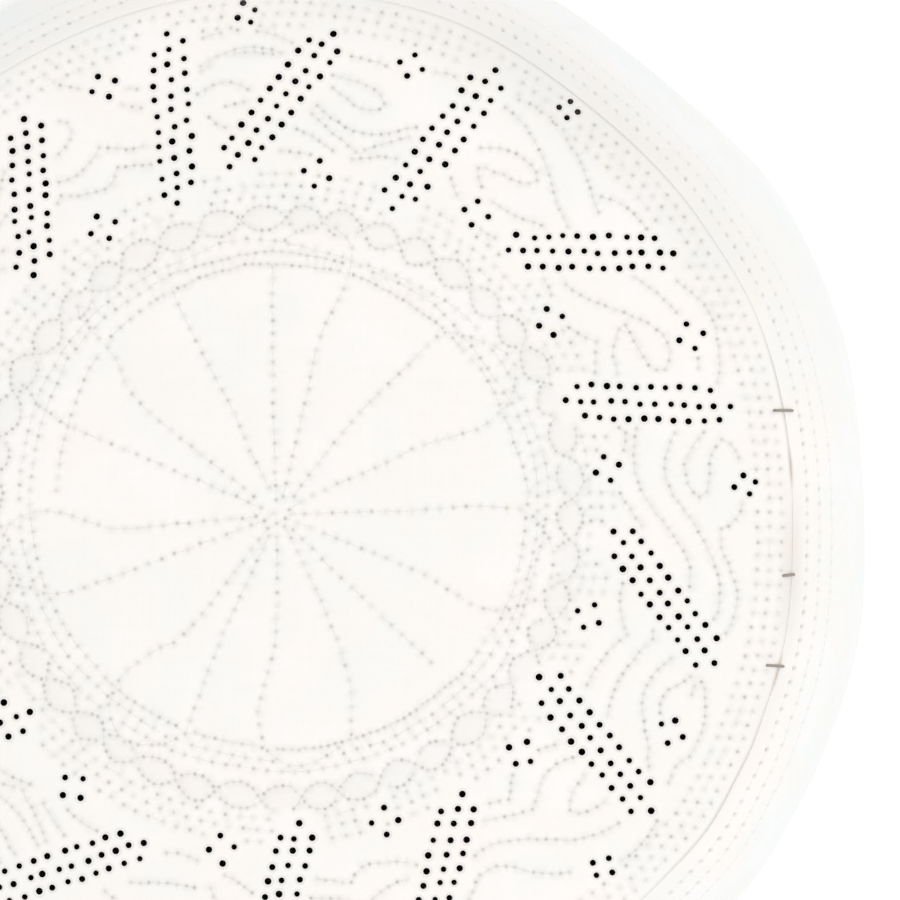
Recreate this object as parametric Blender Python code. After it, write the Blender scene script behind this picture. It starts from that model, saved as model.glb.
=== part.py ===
"""Quilted cotton prayer cap: a flat eyeleted crown sewn to a side band.

Metres, +Z up. The cap rests on its rim, with the middle of its rim on the origin.
"""

import math

import bmesh
import bpy

# Main sizes of the cap.
CAP_HEIGHT = 0.088
CROWN_RISE = 0.0042
SEAM_RADIUS = 0.0790
RIM_RADIUS = 0.0942
CLOTH_THICKNESS = 0.0020
HEM_THICKNESS = 0.0028
HEM_HEIGHT = 0.0120
SEAM_GAP = 0.0003
ALLOWANCE_WIDTH = 0.0036
ALLOWANCE_THICKNESS = 0.0014
SEGMENTS = 72

# The crown's top line: how far out from the middle, and how far down, as shares of
# the seam radius and of the crown's rise.
CROWN_LINE = [
    # outward, drop
    (0.00, 0.00),
    (0.22, 0.03),
    (0.45, 0.12),
    (0.64, 0.26),
    (0.80, 0.43),
    (0.90, 0.58),
    (0.955, 0.71),
    (0.985, 0.85),
    (1.00, 1.00),
]

# The side band's outer line, from the seam down to the rim: height as a share of
# the band's height, and the way out from the seam as a share of the flare.
BAND_LINE = [
    # height, outward
    (1.000, 0.00),
    (0.967, 0.15),
    (0.932, 0.32),
    (0.885, 0.50),
    (0.815, 0.70),
    (0.700, 0.86),
    (0.540, 0.94),
    (0.350, 0.98),
    (0.143, 1.00),
    (0.000, 1.00),
]

# Soft cloth doesn't stand truly round. Each row is a direction round the cap, with
# the radius there as a share of the seam radius and of the rim radius.
ROUNDNESS = [
    # angle, seam, rim
    (0, 0.992, 0.980),
    (22, 0.994, 1.014),
    (34, 0.986, 1.020),
    (50, 0.978, 0.998),
    (72, 0.996, 1.006),
    (95, 0.998, 1.002),
    (120, 0.988, 0.986),
    (150, 0.993, 0.990),
    (185, 1.004, 1.000),
    (225, 1.006, 1.004),
    (265, 1.004, 0.996),
    (300, 1.002, 0.984),
    (324, 1.021, 0.980),
    (340, 1.012, 0.978),
]

# Shallow hollows and swells of the side band: the direction and the height share at
# the middle of each, its half width round and its half height, and how far it stands
# out or in, as a share of the deepest.
SWELL_DEPTH = 0.0018
SWELLS = [
    # angle, height, half_angle, half_height, depth
    (12, 0.45, 24, 0.40, -0.65),
    (56, 0.40, 22, 0.38, -1.00),
    (92, 0.50, 26, 0.42, 0.65),
    (136, 0.42, 26, 0.40, -0.80),
    (182, 0.48, 28, 0.42, 0.60),
    (228, 0.44, 24, 0.40, -0.85),
    (276, 0.50, 26, 0.40, 0.55),
    (330, 0.50, 24, 0.36, -0.70),
]

# Eyelets: round holes in groups of four, each group a diamond.
EYELET_RADIUS = 0.00062
EYELET_SIDES = 10
DIAMOND_HALF = 0.0020

# Bars of finer eyelets divide the crown into panels. They stand in pairs, an upright
# bar and then a leaning one. Each row is a pair: the direction of the middle of each
# bar, and where the inner group of eyelets stands in the panel after the leaning bar.
BAR_PAIRS = [
    # upright, leaning, inner_group
    (16.1, 39.5, 0.49),
    (65.2, 88.2, 0.07),
    (103.6, 126.7, 0.48),
    (157.7, 183.7, 0.48),
    (215.8, 241.1, 0.48),
    (271.5, 296.0, 0.50),
    (324.9, 347.9, 0.47),
]

# How far each kind of bar turns from the spoke through its middle, in degrees, and
# how far out its middle is, as a share of the seam radius.
UPRIGHT_TURN = 15.0
UPRIGHT_MIDDLE = 0.759
LEANING_TURN = 38.0
LEANING_MIDDLE = 0.774

# The other groups of four: in the panel after the upright bar or after the leaning
# one, the share of the way round the panel, and how far out.
EYELET_GROUPS = [
    # panel, around, outward
    ("after_upright", 0.465, 0.875),
    ("after_upright", 0.475, 0.638),
    ("after_leaning", 0.700, 0.930),
]
INNER_GROUP_OUTWARD = 0.664


def clear_scene():
    for old in list(bpy.data.objects):
        bpy.data.objects.remove(old, do_unlink=True)


def named_collection(name, hidden=False):
    collection = bpy.data.collections.new(name)
    bpy.context.scene.collection.children.link(collection)
    collection.hide_render = hidden
    return collection


def cloth_material(name, shade):
    material = bpy.data.materials.new(name)
    material.use_nodes = True
    shader = material.node_tree.nodes["Principled BSDF"]
    shader.inputs["Base Color"].default_value = (*shade, 1.0)
    shader.inputs["Roughness"].default_value = 0.9
    return material


def smooth_step(share):
    return share * share * (3 - 2 * share)


def roundness(angle, column):
    """The share of the nominal radius at this angle in degrees, eased between rows."""
    angle = angle % 360
    rows = ROUNDNESS + [(ROUNDNESS[0][0] + 360, *ROUNDNESS[0][1:])]
    for here, there in zip(rows, rows[1:]):
        if here[0] <= angle <= there[0]:
            share = smooth_step((angle - here[0]) / (there[0] - here[0]))
            return here[column] + (there[column] - here[column]) * share
    return 1.0


def hill(distance, half):
    """A smooth hill that is one in the middle and nothing past its half width."""
    share = min(abs(distance) / half, 1.0)
    return (1 - share * share) ** 2


def swell(angle, height):
    """How far the side band stands out from its plain line here."""
    out = 0.0
    for middle, level, half_angle, half_height, depth in SWELLS:
        turn = (angle - middle + 180) % 360 - 180
        out += depth * hill(turn, half_angle) * hill(height - level, half_height)
    return out * SWELL_DEPTH


def press_out_of_round(mesh):
    """Moves each point of a true round shape to where the soft cloth stands."""
    seam_height = CAP_HEIGHT - CROWN_RISE
    for vertex in mesh.verts:
        radius = math.hypot(vertex.co.x, vertex.co.y)
        if radius < 1e-6:
            continue
        angle = math.degrees(math.atan2(vertex.co.y, vertex.co.x))
        height = min(max(vertex.co.z / seam_height, 0.0), 1.0)
        blend = smooth_step(height)
        share = roundness(angle, 2) * (1 - blend) + roundness(angle, 1) * blend
        moved = radius * share + swell(angle, height)
        vertex.co.x *= moved / radius
        vertex.co.y *= moved / radius


def turned_solid(name, outline, collection, material):
    """One closed solid, made by turning a closed outline of (radius, height) once round."""
    mesh = bmesh.new()
    ring = [mesh.verts.new((radius, 0, height)) for radius, height in outline]
    edges = [mesh.edges.new(pair) for pair in zip(ring, ring[1:])]
    if outline[0][0] > 0:
        edges.append(mesh.edges.new((ring[-1], ring[0])))
    bmesh.ops.spin(
        mesh,
        geom=ring + edges,
        axis=(0, 0, 1),
        cent=(0, 0, 0),
        angle=math.tau,
        steps=SEGMENTS,
        use_merge=True,
    )
    bmesh.ops.remove_doubles(mesh, verts=mesh.verts, dist=1e-6)
    press_out_of_round(mesh)
    bmesh.ops.recalc_face_normals(mesh, faces=mesh.faces)
    data = bpy.data.meshes.new(name)
    mesh.to_mesh(data)
    mesh.free()
    solid = bpy.data.objects.new(name, data)
    collection.objects.link(solid)
    data.materials.append(material)
    return solid


def crown_drop(outward):
    """How far below the cap's top the crown lies at this share of the seam radius."""
    for here, there in zip(CROWN_LINE, CROWN_LINE[1:]):
        if outward <= there[0]:
            share = (outward - here[0]) / (there[0] - here[0])
            return CROWN_RISE * (here[1] + (there[1] - here[1]) * share)
    return CROWN_RISE


def crown_outline():
    edge = SEAM_RADIUS - SEAM_GAP / 2
    top = [(edge * out, CAP_HEIGHT - CROWN_RISE * drop) for out, drop in CROWN_LINE]
    under = [(radius, height - CLOTH_THICKNESS) for radius, height in reversed(top)]
    return top + under


def offset_line(line, depth):
    """The line moved sideways towards the cap's inside."""
    moved = []
    last = len(line) - 1
    for place, (radius, height) in enumerate(line):
        before = line[max(place - 1, 0)]
        after = line[min(place + 1, last)]
        run = after[0] - before[0]
        fall = after[1] - before[1]
        length = math.hypot(run, fall)
        moved.append((radius + fall / length * depth, height - run / length * depth))
    return moved


def band_outline():
    """The side band's cut edge on: outer line, hem, inner line and the turned-in edge."""
    seam_height = CAP_HEIGHT - CROWN_RISE
    seam = SEAM_RADIUS + SEAM_GAP / 2
    flare = RIM_RADIUS - seam
    outer = [(seam + flare * out, seam_height * up) for up, out in BAND_LINE]
    inner = offset_line(outer[1:], CLOTH_THICKNESS)
    inner[-1] = (RIM_RADIUS - HEM_THICKNESS, 0.0)
    step = HEM_THICKNESS - CLOTH_THICKNESS
    inner = [point for point in inner if point[1] > HEM_HEIGHT + 3 * step or point[1] == 0.0]
    inner.insert(len(inner) - 1, (RIM_RADIUS - CLOTH_THICKNESS, HEM_HEIGHT + step))
    inner.insert(len(inner) - 1, (RIM_RADIUS - HEM_THICKNESS, HEM_HEIGHT))
    start = SEAM_RADIUS - ALLOWANCE_WIDTH
    bends = [SEAM_RADIUS * out for out, _ in CROWN_LINE if start < SEAM_RADIUS * out < SEAM_RADIUS]
    tuck = []
    for radius in [start, *bends, seam]:
        under = CAP_HEIGHT - crown_drop(radius / SEAM_RADIUS) - CLOTH_THICKNESS
        tuck.append((radius, under - SEAM_GAP))
    below = [(radius, height - ALLOWANCE_THICKNESS) for radius, height in tuck[:-1]]
    return outer + list(reversed(inner)) + list(reversed(below)) + tuck


def bar_angle(middle, turn, middle_outward, outward):
    """The direction of a straight turned bar where it is this far out."""
    nearest = middle_outward * math.sin(math.radians(turn))
    return middle - turn + math.degrees(math.asin(nearest / outward))


def panel_angle(pair, panel, around, outward):
    """The direction of a place in a panel, from its share round and its way out."""
    upright = bar_angle(BAR_PAIRS[pair][0], UPRIGHT_TURN, UPRIGHT_MIDDLE, outward)
    leaning = bar_angle(BAR_PAIRS[pair][1], LEANING_TURN, LEANING_MIDDLE, outward)
    if panel == "after_upright":
        return upright + (leaning - upright) * around
    following = BAR_PAIRS[(pair + 1) % len(BAR_PAIRS)][0]
    upright = bar_angle(following, UPRIGHT_TURN, UPRIGHT_MIDDLE, outward)
    return leaning + ((upright - leaning) % 360) * around


def eyelet_places():
    """The middle of each eyelet of the groups of four, as (x, y)."""
    places = []
    for pair in range(len(BAR_PAIRS)):
        inner_group = ("after_leaning", BAR_PAIRS[pair][2], INNER_GROUP_OUTWARD)
        for panel, around, outward in [*EYELET_GROUPS, inner_group]:
            angle = math.radians(panel_angle(pair, panel, around, outward))
            radius = SEAM_RADIUS * outward
            for step in range(4):
                turn = angle + step * math.tau / 4
                x = radius * math.cos(angle) + DIAMOND_HALF * math.cos(turn)
                y = radius * math.sin(angle) + DIAMOND_HALF * math.sin(turn)
                places.append((x, y))
    return places


def pierce_eyelets(crown, cutters):
    """Cuts the eyelets through the crown with one object of many short rods."""
    mesh = bmesh.new()
    for x, y in eyelet_places():
        made = bmesh.ops.create_cone(
            mesh,
            cap_ends=True,
            segments=EYELET_SIDES,
            radius1=EYELET_RADIUS,
            radius2=EYELET_RADIUS,
            depth=CROWN_RISE + 4 * CLOTH_THICKNESS,
        )
        middle = CAP_HEIGHT - CROWN_RISE / 2 - CLOTH_THICKNESS / 2
        bmesh.ops.translate(mesh, verts=made["verts"], vec=(x, y, middle))
    bmesh.ops.recalc_face_normals(mesh, faces=mesh.faces)
    data = bpy.data.meshes.new("eyelet_punches")
    mesh.to_mesh(data)
    mesh.free()
    punches = bpy.data.objects.new("eyelet_punches", data)
    cutters.objects.link(punches)
    punches.hide_render = True
    punches.display_type = "WIRE"
    cut = crown.modifiers.new("eyelets", "BOOLEAN")
    cut.operation = "DIFFERENCE"
    cut.solver = "EXACT"
    cut.object = punches
    return punches


def stand_over_origin(band, others):
    """Moves everything so that the side band's outline is centred on the origin."""
    xs = [vertex.co.x for vertex in band.data.vertices]
    ys = [vertex.co.y for vertex in band.data.vertices]
    away = ((min(xs) + max(xs)) / 2, (min(ys) + max(ys)) / 2)
    for piece in [band, *others]:
        for vertex in piece.data.vertices:
            vertex.co.x -= away[0]
            vertex.co.y -= away[1]


def main():
    clear_scene()
    cap = named_collection("prayer_cap")
    cutters = named_collection("cutters", hidden=True)
    crown_cotton = cloth_material("crown_cotton", (0.90, 0.89, 0.86))
    band_cotton = cloth_material("band_cotton", (0.91, 0.90, 0.88))
    crown = turned_solid("crown", crown_outline(), cap, crown_cotton)
    band = turned_solid("side_band", band_outline(), cap, band_cotton)
    punches = pierce_eyelets(crown, cutters)
    stand_over_origin(band, [crown, punches])


main()
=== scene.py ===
"""Quilted cotton prayer cap: its cloth, stitching, worked eyelets, stage, light and camera."""

import functools
import math
import random

import bmesh
import bpy
from bpy.props import FloatProperty, FloatVectorProperty, PointerProperty
from mathutils import Matrix, Vector
from mathutils.geometry import delaunay_2d_cdt
from mathutils.kdtree import KDTree


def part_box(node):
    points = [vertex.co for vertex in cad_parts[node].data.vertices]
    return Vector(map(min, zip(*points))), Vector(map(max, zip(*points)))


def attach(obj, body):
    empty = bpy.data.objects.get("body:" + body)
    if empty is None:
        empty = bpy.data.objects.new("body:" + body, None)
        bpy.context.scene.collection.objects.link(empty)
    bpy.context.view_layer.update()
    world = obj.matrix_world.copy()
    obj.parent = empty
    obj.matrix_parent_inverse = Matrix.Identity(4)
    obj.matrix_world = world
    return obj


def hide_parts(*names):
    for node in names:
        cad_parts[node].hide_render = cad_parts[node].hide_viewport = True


bl_info = {
    "name": "Prayer Cap",
    "version": (1, 0, 0),
    "blender": (4, 5, 0),
    "location": "3D View > Sidebar > Prayer Cap",
    "description": "Builds a quilted and eyeleted cotton prayer cap",
    "category": "Add Mesh",
}

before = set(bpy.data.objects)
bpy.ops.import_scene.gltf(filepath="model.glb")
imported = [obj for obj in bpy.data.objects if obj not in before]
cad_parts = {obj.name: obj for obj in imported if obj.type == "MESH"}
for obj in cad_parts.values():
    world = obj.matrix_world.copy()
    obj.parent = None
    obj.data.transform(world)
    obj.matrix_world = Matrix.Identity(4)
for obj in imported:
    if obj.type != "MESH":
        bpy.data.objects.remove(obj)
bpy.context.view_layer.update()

MM = 0.001

# The cap's form, in metres. Both heights are read from the solids' boxes.
SEAM_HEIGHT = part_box("side_band")[1][2]
CAP_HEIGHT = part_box("crown")[1][2]
CROWN_RISE = CAP_HEIGHT - SEAM_HEIGHT
SEAM_RADIUS = 0.0790
RIM_RADIUS = 0.0942
SWELL_DEPTH = 0.0018
SEAM_GAP = 0.3 * MM
HEM_HEIGHT = 12.0 * MM
FOLD_RADIUS = 1.4 * MM

# How the cloth's meshes are divided.
EDGE_STEPS = 720
HOLE_SIDES = 12
FIELD_SPACING = 1.0 * MM
BAND_STEPS = 960
UNDERSIDE_SPACING = 2.4 * MM
EYELET_STEPS = 26
EYELET_SIDES = 5
THREAD_SIDES = 5
# Rings of points just inside the crown's edge: how far in, and the shift in steps.
EDGE_RINGS = [
    # inset, start
    (0.30 * MM, 0.5),
    (0.75 * MM, 0.0),
    (1.25 * MM, 0.5),
]
# A ring of points round each eyelet holds the cloth flat there. It stays this clear of
# other eyelets, and the edge's rings stay this clear of every eyelet.
COLLAR_RADIUS = 1.02 * MM
COLLAR_POINTS = 10
COLLAR_ROOM = 0.9 * MM
EDGE_RING_ROOM = 1.0 * MM
# Rows of the grid between them are this share of its spacing apart, so that its
# triangles have even sides.
GRID_ROW = 0.866
# The grid keeps this clear of needle holes, of eyelets and of the edge.
FIELD_TO_HOLE = 0.60 * MM
FIELD_TO_EYELET = 1.35 * MM
FIELD_TO_EDGE = 1.70 * MM
UNDERSIDE_TO_EYELET = 1.25 * MM
UNDERSIDE_TO_EDGE = 1.2 * MM

# Hand-guided sewing is never even: how far eyelets and needle holes stray, and the
# least room that each keeps from what is next to it.
EYELET_JITTER = 0.14 * MM
EYELET_ROOM = 1.70 * MM
BAR_EYELET_SIZES = (0.86, 1.12)
GROUP_EYELET_SIZES = (0.86, 1.08)
STRAY_ALONG = 0.07 * MM
STRAY_ACROSS = 0.06 * MM
HOLE_ROOM = 0.62 * MM
HOLE_CELL = 0.7 * MM
HOLE_TO_EYELET = 1.45 * MM
HOLE_TO_BAR = 1.3 * MM
PRESSED_TO_BAR = 0.6 * MM

# Where each series of random draws begins.
EYELET_SEED = 14
HOLE_SEED = 7
SHADE_SEED = 31
BAND_SEED = 21
THREAD_SEED = 5

# Far beyond the cap, next to nothing, and how near two points of a mesh count as one.
FAR = 9.0
TINY = 1e-9
MERGED = 1e-6

# How far from a row of stitches the cloth is still pulled down, first sharply and
# then gently, and how far its edge rolls into the seam.
QUILT_REACH = 0.85 * MM
PAD_REACH = 4.0 * MM
EDGE_ROLL = 0.05 * MM
EDGE_ROLL_WIDTH = 0.6 * MM
# Pulled thread closes most of the solids' gap at the seam, by this much on each side.
SEAM_CLOSE = 0.147 * MM

# One stitch from hole to hole: the share of the way, the lift and the thickness, both
# as shares of the thread's radius.
STITCH_FORM = [
    # share, lift, thickness
    (0.00, -2.4, 0.5),
    (0.20, -0.5, 0.9),
    (0.50, 0.1, 1.0),
    (0.80, -0.5, 0.9),
    (1.00, -2.4, 0.5),
]

# Old stains along the seam: direction, half width in degrees, reach from the seam and
# strength.
STAINS = [
    # middle, half, reach, strength
    (-6, 13, 2.5 * MM, 0.31),
    (5, 3.0, 0.45 * MM, 0.90),
    (-17.5, 3.0, 0.5 * MM, 0.80),
    (-32, 16, 0.35 * MM, 0.25),
    (-10, 22, 4.5 * MM, 0.05),
]
# Where painted shade shows the seam's groove as a thin dark line: direction, half width in degrees, strength.
SEAM_GROOVE_SHADES = [
    # middle, half, strength
    (-32, 20, 0.30),
    (12, 12, 0.50),
    (52, 34, 0.36),
    (100, 40, 0.15),
]
# The least painted shade in the seam's groove, all the way round.
SEAM_GROOVE_SHADE_LEAST = 0.02
# Painted shade along the seam, where the cloth turns down over the shoulder, which is most at the back.
SEAM_PAINTED_SHADE = [
    # middle, half, reach, strength
    (55, 52, 9.5 * MM, 0.18),
    (-22, 26, 2.6 * MM, 0.08),
    (180, 400, 3.0 * MM, 0.02),
]
# The threads of the weave are about 0.15 mm apart. They are drawn twice as coarse,
# because finer stripes would only shimmer at this picture's size.
WEAVE_PERIOD = 0.32 * MM
THREAD_TWIST = 0.25 * MM
TWIST_DEPTH = 0.03 * MM
RIDGE_SIZE = 0.22 * MM
RIDGE_DEPTH = 0.05 * MM
# The wave texture's stripes are this far apart at a scale of one.
STRIPE_AT_ONE = 0.314
# How dark the painted shade in needle holes is against the darkest, which only a few are.
NEEDLE_SHARES = [0.20, 0.35, 0.45, 0.55, 0.65, 0.75, 0.95]
# A hole's depth is the first share of the deepest, and more by the second of its shade.
HOLE_DEPTHS = (0.6, 0.5)
# The dimple round a needle hole, and how dark the painted shade at its edge and inside an eyelet is.
DIMPLE_SIDES = 6
DIMPLE_SHADE = 0.16
EYELET_SHADE = 0.35
# A band row's holes are between these shares of the deepest, and of the darkest painted shade.
BAND_HOLE_SHARES = (0.5, 1.1)
# An eyelet's thread lies this deep in the cloth, and its ridges take turns.
EYELET_SINK = 0.12 * MM
EYELET_RIDGES = (0.86, 1.12)
# What aged and creamy patches leave of the cotton's red, green and blue.
AGED_SHARES = (0.965, 0.985, 0.982, 1.0)
CREAM_SHARES = (1.0, 0.972, 0.945, 1.0)
# Sizes and strengths of the cotton's uneven patches, and how hard their edges are.
PATCH_EDGES = (0.38, 0.62)
AGED_PATCH = 16 * MM
CREAM_PATCH = 11 * MM
CREAM_STRENGTH = 0.6
FLECK_SIZE = 0.9 * MM
FLECK_STRENGTH = 0.06
STAIN_STRENGTH = 0.8
SLUB_SIZE = 2.2 * MM
SLUB_STRENGTH = 2.5
WEAVE_DEPTH = 0.009 * MM
# The padded scallops are a touch greyer, as their filling shows through the cotton.
PAD_SHADE = 0.085
# The table glows this much, from the first distance off its middle fully at the second.
TABLE_GLOW = 0.11
GLOW_FROM = 0.089
GLOW_FULL = 0.099
# The crown's thread is painted a touch greyer than its cloth, as shade in the grooves it lies in, and the
# band's hardly so.
CROWN_THREAD_SHADE = 0.90
BAND_THREAD_SHADE = 0.99
# The side band's cotton is painted cooler and greyer from the seam down to here, as shade on the wall.
WALL_SHADE_BELOW = 16 * MM
# Old stains and painted shade along the seam end at this distance down the band.
MARKED_BELOW = 14 * MM
# The puffed cloth swells a little past its own line, so that line lies this much
# further in at the rim than the solid's.
BAND_EASE = 1.1 * MM
BODY = "root"

# The kinds of stitched rows on the crown, each made as a separate piece.
CROWN_ROWS = ("rays", "rings", "scallops", "vines")

# The crown's top line, as shares of the seam radius and of the crown's rise.
CROWN_LINE = [
    # outward, drop
    (0.00, 0.00),
    (0.22, 0.03),
    (0.45, 0.12),
    (0.64, 0.26),
    (0.80, 0.43),
    (0.90, 0.58),
    (0.955, 0.71),
    (0.985, 0.85),
    (1.00, 1.00),
]

# The side band's outer line, as shares of the band's height and of its flare.
BAND_LINE = [
    # height, outward
    (1.000, 0.00),
    (0.967, 0.15),
    (0.932, 0.32),
    (0.885, 0.50),
    (0.815, 0.70),
    (0.700, 0.86),
    (0.540, 0.94),
    (0.350, 0.98),
    (0.143, 1.00),
    (0.000, 1.00),
]

# How far from round the soft cloth stands: a direction, and shares of both radii.
SEAM_COLUMN, RIM_COLUMN = 1, 2
ROUNDNESS = [
    # angle, seam, rim
    (0, 0.994, 0.980),
    (22, 0.999, 1.014),
    (34, 0.991, 1.020),
    (50, 0.986, 0.998),
    (72, 1.003, 1.006),
    (95, 0.998, 1.002),
    (120, 0.988, 0.958),
    (150, 0.993, 0.980),
    (185, 1.004, 1.000),
    (225, 1.006, 1.004),
    (265, 1.004, 0.996),
    (300, 1.002, 0.976),
    (316, 1.020, 0.952),
    (324, 1.026, 0.960),
    (332, 1.019, 0.972),
    (340, 1.012, 0.978),
]

# Shallow hollows and swells of the side band, with depths as shares of the deepest.
SWELLS = [
    # angle, height, half_angle, half_height, depth
    (12, 0.45, 24, 0.40, -0.65),
    (56, 0.40, 22, 0.38, -1.00),
    (92, 0.50, 26, 0.42, 0.65),
    (136, 0.42, 26, 0.40, -0.80),
    (182, 0.48, 28, 0.42, 0.60),
    (228, 0.44, 24, 0.40, -0.85),
    (276, 0.50, 26, 0.40, 0.55),
    (330, 0.50, 24, 0.36, -0.70),
]

# Bars of eyelets stand in pairs, an upright bar and then a leaning one. Each row is
# the direction of both bars' middles, then which stitched panel follows the upright
# bar and which the leaning one.
BAR_PAIRS = [
    # upright, leaning, first_panel, second_panel
    (16.1, 39.5, "loop", "comma"),
    (65.2, 88.2, "tongue", "narrow"),
    (103.6, 126.7, "cusps", "slant"),
    (157.7, 183.7, "loop", "waves"),
    (215.8, 241.1, "tongue", "comma"),
    (271.5, 296.0, "cusps", "slant"),
    (324.9, 347.9, "hook", "waves"),
]

# How each kind of bar stands on the whole, which sets where the panels between bars
# begin and end: its turn from the spoke in degrees, and how far out its middle is.
BAR_KINDS = {
    # turn, middle
    "upright": (15.0, 0.759),
    "leaning": (38.0, 0.774),
}

# The bars one by one: the direction and way out of the middle, the turn from the
# spoke, and the length against the standard one.
BARS = [
    # angle, outward, turn, length
    (16.1, 0.746, 18.4, 0.97),
    (39.1, 0.786, 39.6, 0.975),
    (65.2, 0.784, 11.8, 1.015),
    (88.7, 0.787, 36.0, 1.00),
    (104.0, 0.775, 9.5, 1.015),
    (127.3, 0.759, 33.7, 0.935),
    (157.7, 0.765, 15.0, 1.00),
    (183.7, 0.785, 38.0, 0.98),
    (215.4, 0.750, 16.0, 1.00),
    (240.0, 0.779, 41.7, 0.975),
    (271.2, 0.742, 16.2, 0.97),
    (295.1, 0.765, 39.0, 1.00),
    (324.5, 0.759, 14.3, 1.00),
    (347.8, 0.766, 40.0, 0.97),
]
BAR_ROWS = [
    # across, count
    (-1.0, 10),
    (0.0, 12),
    (1.0, 10),
]
BAR_PITCH = 2.325 * MM
BAR_ROW_GAP = 2.35 * MM
BAR_SLANT = -0.72 * MM
# How far a bar reaches from its middle, in pitches: its outer rows, and its very tip.
BAR_HALF_LENGTH = 5.5
BAR_TIP = 6.0

# Eyelets in groups of four, each group a diamond: the direction and way out of its
# middle, its turn from the spoke, and how far each eyelet is from its middle.
EYELET_GROUPS = [
    # angle, outward, turn, half
    (3.4, 0.904, 14, 1.65 * MM),
    (7.3, 0.646, 11, 1.85 * MM),
    (22.7, 0.868, -6, 1.9 * MM),
    (34.3, 0.645, -16, 1.9 * MM),
    (53.6, 0.956, 20, 1.40 * MM),
    (55.7, 0.692, 22, 1.85 * MM),
    (72.7, 0.894, -3, 1.8 * MM),
    (82.3, 0.652, -9, 1.95 * MM),
    (92.9, 0.958, 20, 1.45 * MM),
    (95.7, 0.678, -20, 1.9 * MM),
    (111.5, 0.874, 4, 1.8 * MM),
    (120.4, 0.630, -7, 1.9 * MM),
    (144.3, 0.930, 15, 1.6 * MM),
    (146.7, 0.664, 14, 1.85 * MM),
    (166.4, 0.875, 0, 1.85 * MM),
    (176.5, 0.638, -12, 1.9 * MM),
    (202.1, 0.930, 15, 1.6 * MM),
    (204.3, 0.664, 14, 1.85 * MM),
    (224.2, 0.875, 0, 1.85 * MM),
    (234.3, 0.641, -15, 2.0 * MM),
    (258.3, 0.930, 15, 1.6 * MM),
    (261.9, 0.647, 15, 1.9 * MM),
    (279.5, 0.875, 0, 1.85 * MM),
    (290.3, 0.628, -13, 1.95 * MM),
    (313.2, 0.923, 17, 1.6 * MM),
    (315.9, 0.660, 13, 1.85 * MM),
    (331.4, 0.868, 1, 1.85 * MM),
    (341.8, 0.637, -11, 1.9 * MM),
]

# Where the rosette's rays meet, as shares to the right and up of the crown's middle.
RAYS_MEET = (0.0123, -0.0047)

# The rosette's rays. The first pair is the direction and distance from where the rays
# meet to where this ray begins, and the others are directions and ways out from the
# crown's middle. Five rays curl over at their ends like petals.
RAYS = [
    [(1, 0.028), (0.6, 0.25), (1.5, 0.40), (0.6, 0.475)],
    [
        (21, 0.026), (22, 0.10), (23, 0.25), (24, 0.31), (22, 0.42), (23, 0.465), (25, 0.50), (28.5, 0.532),
        (32, 0.544), (36, 0.534), (39, 0.517), (43, 0.498), (46, 0.475),
    ],
    [(48, 0.047), (48, 0.25), (46.5, 0.46)],
    [
        (70, 0.036), (72, 0.20), (74, 0.30), (74, 0.36), (72, 0.44), (72, 0.50), (73, 0.53), (77, 0.556),
        (80.5, 0.556), (84.5, 0.537), (87, 0.520),
    ],
    [(92, 0.028), (89, 0.25), (89.5, 0.47)],
    [(106, 0.053), (108, 0.12), (110, 0.20), (113, 0.32), (114, 0.46)],
    [(141, 0.057), (140.5, 0.28), (139, 0.36), (135, 0.42), (134.6, 0.50), (134, 0.53), (131, 0.555)],
    [
        (156, 0.006), (156.5, 0.25), (156.9, 0.40), (156.1, 0.453), (155.4, 0.482), (153.9, 0.505),
        (152.8, 0.530),
    ],
    [
        (186, 0.014), (187, 0.20), (186.4, 0.29), (183.8, 0.334), (180.8, 0.382), (179.8, 0.41),
        (179.8, 0.437), (180.5, 0.466), (182.3, 0.494), (185, 0.508),
    ],
    [(205, 0.026), (203, 0.25), (202, 0.38), (201, 0.43), (199.5, 0.456), (197.5, 0.478), (196, 0.500)],
    [
        (236, 0.032), (235.5, 0.27), (231, 0.33), (228, 0.40), (228.5, 0.44), (229.5, 0.47), (231.5, 0.49),
        (236.5, 0.514), (240, 0.510), (242, 0.500), (245, 0.490), (247.5, 0.465),
    ],
    [(251, 0.045), (249, 0.25), (249, 0.45)],
    [
        (273, 0.018), (273, 0.22), (268, 0.33), (266.5, 0.39), (268, 0.43), (269.5, 0.455), (272, 0.4725),
        (275, 0.486), (278.5, 0.486), (282, 0.478), (286, 0.466),
    ],
    [(304, 0.027), (303, 0.11), (298, 0.25), (295, 0.36), (290, 0.45)],
    [(317, 0.042), (317, 0.20), (317, 0.42)],
    [
        (338, 0.018), (338, 0.30), (336, 0.38), (335.5, 0.43), (336.3, 0.465), (338.5, 0.50),
        (340.5, 0.520), (343.5, 0.541), (348, 0.549), (352, 0.543), (356, 0.525), (359, 0.500),
    ],
]

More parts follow.
